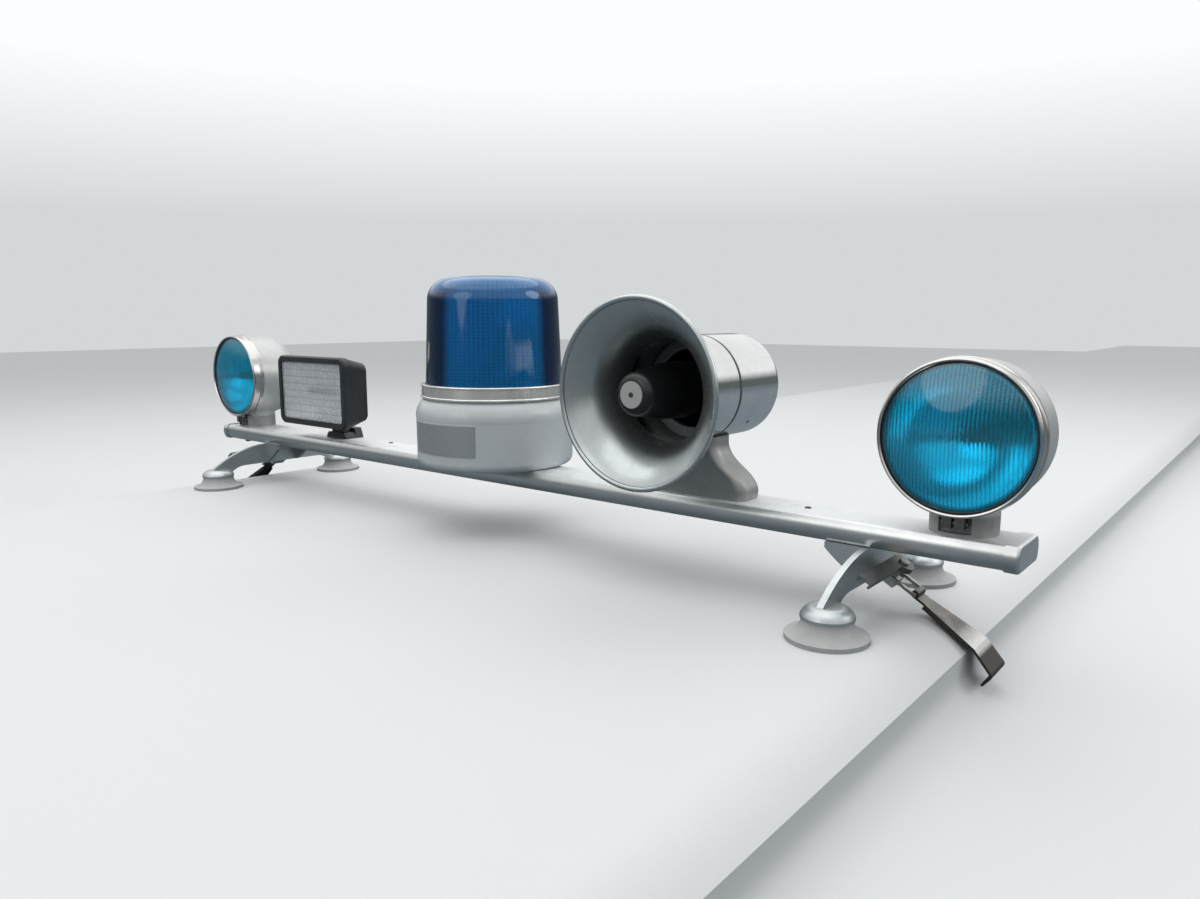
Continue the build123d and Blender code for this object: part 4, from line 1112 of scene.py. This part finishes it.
@dataclass
class RoundLamp(RibbedLens):
    """Fluted blue lens, seal and shaded bulb of a round lamp. The rest of the lamp is the CAD's own.

    A bulb's outline is given from its foot and from its tip, each point by its share of the CAD bulb's
    radius and its distance from that end.
    """

    side: str
    flutes: Pair = (0.0036, 0.0005)
    bands: Pair = (1.0, 0.0)
    flute_steps: int = 8
    rows: int = 64
    thickness: float = 0.0030
    radius: float = 0.0678
    rim_share: float = 0.9995
    bull_radius: float = 0.0125
    bull_pitch: float = 0.0050
    bull_depth: float = 0.0007
    seal_outer: float = 0.0694
    seal_ledge: float = 0.0655
    seal_step: float = 0.0020
    seal_lip: float = 0.0006
    seal_gap: float = 0.0001
    seal_bevel: float = 0.0004
    seal_edge: float = 0.0003
    seal_segments: int = 160
    bulb_foot: tuple[Pair, ...] = ((0.0, 0.0), (0.78, 0.0), (0.78, 0.012), (0.70, 0.013), (0.70, 0.016),
                                   (0.42, 0.018))
    bulb_tip: tuple[Pair, ...] = ((0.38, 0.017), (0.62, 0.013), (0.6448, 0.012), (0.62, 0.011), (0.62, 0.004),
                                  (0.5332, 0.0016), (0.31, 0.0003), (0.0, 0.0))
    bulb_segments: int = 64

    def build(self) -> None:
        """Build the lens, the seal and the bulb."""
        self._lens()
        self._seal()
        self._bulb()

    def _back_centre(self, node: str) -> tuple[Vector, Vector]:
        """Middle of a CAD node's back, and its size.

        Args:
            node: The node's name.

        Returns:
            The place and the size.
        """
        low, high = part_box(node)
        return Vector(((low.x + high.x) / 2, high.y, (low.z + high.z) / 2)), high - low

    def _seal(self) -> None:
        """Narrow rubber seal round the lens."""
        node = f"lamp_gasket_{self.side}"
        centre, size = self._back_centre(node)
        inner = self.radius + self.seal_gap
        profile = [(self.seal_ledge, 0.0), (self.seal_outer, 0.0), (self.seal_outer, size.y - self.seal_lip),
                   (inner + self.seal_bevel, size.y), (inner, size.y - self.seal_edge),
                   (inner, self.seal_step), (self.seal_ledge, self.seal_step)]
        mesh = lathe("lens_seal", profile, centre, self.seal_segments)
        piece = self.object_of(f"lens_seal_{self.side}", mesh, "black_rubber")
        self.settle(piece, ROOT, "black_rubber", [node])

    def _bulb(self) -> None:
        """Bulb on its collar, with a slim cap that shades its front."""
        node = f"lamp_bulb_{self.side}"
        centre, size = self._back_centre(node)
        wide = size.x / 2
        profile = [(share * wide, forward) for share, forward in self.bulb_foot]
        profile += [(share * wide, size.y - behind) for share, behind in self.bulb_tip]
        mesh = lathe("shaded_bulb", profile, centre, self.bulb_segments)
        piece = self.object_of(f"shaded_bulb_{self.side}", mesh, "bulb_metal")
        self.settle(piece, ROOT, "bulb_metal", [node])

    def _lens(self) -> None:
        """Lens with vertical flutes and a small bull's-eye in its middle, both on its back."""
        node = f"lamp_lens_{self.side}"
        low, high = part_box(node)
        centre = (low + high) / 2
        rim_front = high.y - self.thickness
        bulge = rim_front - low.y
        sphere = (self.radius ** 2 + bulge ** 2) / (2 * bulge)
        columns = int(round(2 * self.radius / self.flutes[0])) * self.flute_steps
        lens = LensMesh()
        for i in range(columns + 1):
            x = self.radius * self.rim_share * (2 * i / columns - 1)
            chord = math.sqrt(self.radius ** 2 - x ** 2)
            column = []
            for j in range(self.rows):
                z = chord * math.sin(math.pi * (j / (self.rows - 1) - 0.5))
                rise = math.sqrt(max(sphere ** 2 - x ** 2 - z ** 2, 0.0)) - (sphere - bulge)
                front = Vector((centre.x + x, rim_front - rise, centre.z + z))
                ripple = 0.0
                reach = math.hypot(x, z)
                if reach < self.bull_radius:
                    ripple = self.bull_depth * math.sin(math.pi * reach / self.bull_pitch) ** 2
                back = front + Vector((0.0, self.thickness - ripple, 0.0))
                column.append(LensPoint(front, back, x, z, Vector(FORWARD)))
            lens.columns.append(column)
        self.finish_lens(lens, f"fluted_lens_{self.side}", "blue_lens", ROOT, node, self.flutes, self.bands)


@dataclass
class WorkLamp(RibbedLens):
    """Ribbed clear lens of the work lamp, with broad bands and fine flutes."""

    flutes: Pair = (0.0055, 0.0009)
    bands: Pair = (0.0115, 0.0005)
    corner: float = 0.00585
    columns: int = 240
    rows: int = 80

    def build(self) -> None:
        """Build the lens where the CAD's lens is."""
        low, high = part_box("work_lamp_lens")
        centre = (low + high) / 2
        half_x, half_z = (high.x - low.x) / 2, (high.z - low.z) / 2
        lens = LensMesh()
        for i in range(self.columns + 1):
            x = half_x * (2 * i / self.columns - 1)
            inside = max(abs(x) - (half_x - self.corner), 0.0)
            reach = half_z - self.corner + math.sqrt(max(self.corner ** 2 - inside ** 2, 0.0))
            column = []
            for j in range(self.rows + 1):
                z = reach * (2 * j / self.rows - 1)
                front, back = (Vector((centre.x + x, y, centre.z + z)) for y in (low.y, high.y))
                column.append(LensPoint(front, back, x, z, Vector(FORWARD)))
            lens.columns.append(column)
        self.finish_lens(lens, "ribbed_work_lens", "clear_glass", "work_lamp", "work_lamp_lens", self.flutes,
                         self.bands)


@dataclass
class Beacon(RibbedLens):
    """Dome with fine prism rings and flutes on its inside."""

    wall: float = 0.003
    base_radius: float = 0.0947
    shoulder_radius: float = 0.089
    corner: float = 0.030
    crown: float = 0.003
    pole: float = 0.0002
    segments: int = 360
    wall_steps: int = 100
    corner_steps: int = 12
    crown_steps: int = 8
    rings: Pair = (0.0045, 0.0006)
    flute_count: int = 90
    flute_depth: float = 0.0004

    def outline(self, inset: float, low: float, high: float) -> list[Pair]:
        """Radius and height of points up the dome's wall, round its corner and over its crown.

        Args:
            inset: How far inside the outer face.
            low: Height of the rim.
            high: Height of the top.

        Returns:
            The points, from the rim to just off the axis.
        """
        sizes = (self.base_radius, self.shoulder_radius, self.corner)
        base, shoulder, corner = (size - inset for size in sizes)
        top = high - inset
        rim = top - self.crown
        flat = shoulder - corner
        points = []
        for k in range(self.wall_steps):
            share = k / self.wall_steps
            points.append((base + (shoulder - base) * share, low + (rim - corner - low) * share))
        for k in range(self.corner_steps):
            turn = math.pi / 2 * k / self.corner_steps
            points.append((flat + corner * math.cos(turn), rim - corner + corner * math.sin(turn)))
        sphere = (flat ** 2 + self.crown ** 2) / (2 * self.crown)
        for k in range(self.crown_steps):
            share = k / (self.crown_steps - 1)
            radius = flat * (1 - share) + self.pole * share
            points.append((radius, top - sphere + math.sqrt(sphere ** 2 - radius ** 2)))
        return points

    def build(self) -> None:
        """Build the dome where the CAD's dome is."""
        low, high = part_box("beacon_dome")
        centre = (low + high) / 2
        walls = [self.outline(inset, low.z, high.z) for inset in (0.0, self.wall)]
        lens = LensMesh()
        for i in range(self.segments):
            turn = 2 * math.pi * i / self.segments
            way = Vector((math.cos(turn), math.sin(turn), 0.0))
            column = []
            for k, rings in enumerate(zip(*walls)):
                front, back = (Vector((centre.x + way.x * r, centre.y + way.y * r, z)) for r, z in rings)
                outward = way if k < self.wall_steps else Vector((0.0, 0.0, 0.0))
                column.append(LensPoint(front, back, turn * self.shoulder_radius, back.z - low.z, outward))
            lens.columns.append(column)
        flutes = (2 * math.pi * self.shoulder_radius / self.flute_count, self.flute_depth)
        self.finish_lens(lens, "prism_dome", "blue_dome", ROOT, "beacon_dome", flutes, self.rings,
                         closed=True)


@dataclass(frozen=True)
class ScrewSet:
    """A set of like screws on one body, each place with the way that its head looks."""

    name: str
    body: str
    radius: float
    height: float
    slot_width: float
    places: tuple[tuple[Vec3, Vec3], ...]
    slot: str = "screw_dark"
    sides: int = 20


@dataclass
class Hardware(Builder):
    """Screws that the CAD leaves to the dressing."""

    tree: FastenerTree

    def fit(self, screws: ScrewSet) -> None:
        """Build one set of screws.

        Args:
            screws: The set.
        """
        mesh = bpy.data.meshes.new(screws.name)
        mesh.from_pydata([place for place, _ in screws.places], [], [])
        facing = mesh.attributes.new("facing", "FLOAT_VECTOR", "POINT")
        facing.data.foreach_set("vector", [part for _, way in screws.places for part in way])
        made = applied(in_scene(screws.name + "_draft", mesh), self.tree.tree, {
            "Head Radius": screws.radius, "Head Height": screws.height, "Slot Width": screws.slot_width,
            "Sides": screws.sides, "Finish": self.shelf.take(screws.slot)})
        smooth(made, Crease.SCREW)
        self.settle(self.object_of(screws.name, made, screws.slot), screws.body, screws.slot)


@dataclass(frozen=True)
class SoftLamp:
    """A round soft lamp: where it stands and looks, its diameter in metres and its power in watts."""

    name: str
    place: Vec3
    target: Vec3
    size: float
    power: float

    def build(self) -> None:
        """Put the lamp into the scene."""
        lamp = bpy.data.lights.new(self.name, "AREA")
        lamp.shape = "DISK"
        lamp.size = self.size
        lamp.energy = self.power
        holder = in_scene(self.name, lamp)
        holder.location = self.place
        way = Vector(self.target) - Vector(self.place)
        holder.rotation_euler = way.to_track_quat("-Z", "Y").to_euler()


@dataclass
class Studio:
    """Pale stage that the rubber feet stand on, soft lamps, surroundings and the camera.

    The surroundings are pale above a band of heights. Below it they are pale to the camera and dark to
    reflections, as ground is.
    """

    plateau_half: float = 0.602
    shoulder_end: float = 0.655
    shoulder_drop: float = 0.022
    shoulder_steps: int = 10
    foot_reach: float = 0.75
    foot_spread: float = 4
    foot_fall: float = 1.6
    floor_level: float = -0.066
    reach: float = 9.0
    stage_colour: Colour = (0.66, 0.67, 0.67)
    stage_bounce: Colour = (0.13, 0.165, 0.19)
    stage_roughness: float = 0.7
    sky: Colour = (0.97, 0.985, 1.0)
    low_seen: Colour = (0.66, 0.68, 0.69)
    low_mirrored: Colour = (0.12, 0.14, 0.14)
    sky_band: Pair = (0.10, 0.24)
    sky_light: float = 0.72
    sky_shown: float = 1.0
    lamps: tuple[SoftLamp, ...] = (
        SoftLamp("Overhead", (-0.3, 0.1, 2.3), (0.0, 0.0, 0.1), 4.4, 50.0),
        SoftLamp("Front_Left", (-0.4, -2.7, 1.2), (0.1, 0.0, 0.15), 1.6, 8.0),
        SoftLamp("Rear_Right", (1.9, 1.2, 1.2), (0.2, 0.0, 0.15), 1.2, 9.0))
    camera_place: Vec3 = (0.888, -0.8446, 0.294)
    camera_pitch: float = 81.25
    camera_turn: float = 39.45
    camera_lens: float = 26.2
    camera_sensor: float = 36.0
    camera_near: float = 0.01

    def build(self) -> None:
        """Build everything around the object."""
        self._stage()
        self._world()
        for lamp in self.lamps:
            lamp.build()
        self._camera()

    def _stage(self) -> None:
        """Long flat table with rounded shoulders, on a wide floor."""
        right = []
        for k in range(self.shoulder_steps + 1):
            share = k / self.shoulder_steps
            x = self.plateau_half + (self.shoulder_end - self.plateau_half) * share
            right.append((x, -self.shoulder_drop * share ** 2))
        fall = self.floor_level + self.shoulder_drop
        foot = self.foot_reach - self.shoulder_end
        for k in range(1, self.shoulder_steps + 1):
            share = k / self.shoulder_steps
            right.append((self.shoulder_end + foot * share ** self.foot_spread,
                          -self.shoulder_drop + fall * (1 - (1 - share) ** self.foot_fall)))
        right.append((self.reach, self.floor_level))
        profile = [(-x, z) for x, z in reversed(right)] + right
        bm = bmesh.new()
        front, back = ([bm.verts.new((x, y, z)) for x, z in profile] for y in (-self.reach, self.reach))
        for k in range(len(profile) - 1):
            bm.faces.new((front[k], front[k + 1], back[k + 1], back[k]))
        mesh = finished(bm, "stage_table")
        smooth(mesh)
        mesh.materials.append(self._stage_finish())
        in_scene("stage_table", mesh)

    def _stage_finish(self) -> bpy.types.Material:
        """Pale matt finish, a little darker and bluer to the object than to the camera.

        Returns:
            The material.
        """
        material = bpy.data.materials.new("Stage_Pale")
        material.use_nodes = True
        canvas = Canvas(material.node_tree)
        shader = material.node_tree.nodes["Principled BSDF"]
        seen = canvas.add("ShaderNodeLightPath").outputs["Is Camera Ray"]
        canvas.feed(shader.inputs["Base Color"], canvas.blend(seen, self.stage_bounce, self.stage_colour))
        canvas.feed(shader.inputs["Roughness"], self.stage_roughness)
        return material

    def _world(self) -> None:
        """Surroundings that light the object, and that the camera, metal and glass see at full strength."""
        world = bpy.data.worlds.new("Pale_Surroundings")
        canvas = blank_canvas(world)
        height = canvas.part(canvas.add("ShaderNodeTexCoord").outputs["Generated"], "Z")
        rays = canvas.add("ShaderNodeLightPath").outputs
        low = canvas.blend(rays["Is Camera Ray"], self.low_mirrored, self.low_seen)
        colour = canvas.blend(canvas.spread(height, *self.sky_band), low, self.sky)
        shown = canvas.math("MAXIMUM", rays["Is Camera Ray"], rays["Is Glossy Ray"])
        shown = canvas.math("MAXIMUM", shown, rays["Is Transmission Ray"])
        strength = canvas.blend(shown, self.sky_light, self.sky_shown, colour=False)
        light = canvas.add("ShaderNodeBackground", {"Color": colour, "Strength": strength})
        canvas.show("ShaderNodeOutputWorld", light)
        bpy.context.scene.world = world

    def _camera(self) -> None:
        """Camera at the photograph's viewing angle."""
        lens = bpy.data.cameras.new("Camera")
        lens.lens = self.camera_lens
        lens.sensor_width = self.camera_sensor
        lens.clip_start = self.camera_near
        holder = in_scene("Camera", lens)
        holder.location = self.camera_place
        holder.rotation_euler = (math.radians(self.camera_pitch), 0.0, math.radians(self.camera_turn))
        bpy.context.scene.camera = holder


def screw_sets() -> list[ScrewSet]:
    """Where each set of screws sits.

    Returns:
        The sets.
    """
    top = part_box("cross_bar")[1].z
    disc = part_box("horn_nose_disc")
    hub = (disc[0] + disc[1]) / 2
    return [
        ScrewSet("bar_screws", ROOT, radius=0.0036, height=0.0012, slot_width=0.001,
                 places=(((-0.2544, 0.0149, top), UPWARD), ((0.4805, 0.0, top), UPWARD))),
        ScrewSet("disc_screw", ROOT, radius=0.0028, height=0.0012, slot_width=0.0009,
                 places=(((hub.x, disc[0].y, hub.z), FORWARD),)),
    ]


def main() -> None:
    """Dress the CAD nodes, build the finer pieces and set the stage."""
    logging.basicConfig(level=logging.INFO, format="%(name)s: %(message)s")
    bpy.context.scene.view_settings.view_transform = "Standard"
    shelf = FinishShelf()
    shelf.dress_cad(frame["record"])
    ribs = RibTree()
    for side in ("left", "right"):
        RoundLamp(shelf, ribs, side).build()
    WorkLamp(shelf, ribs).build()
    Beacon(shelf, ribs).build()
    hardware = Hardware(shelf, FastenerTree())
    for screws in screw_sets():
        hardware.fit(screws)
    Studio().build()
    LOG.info("finished")


if __name__ == "__main__":
    main()
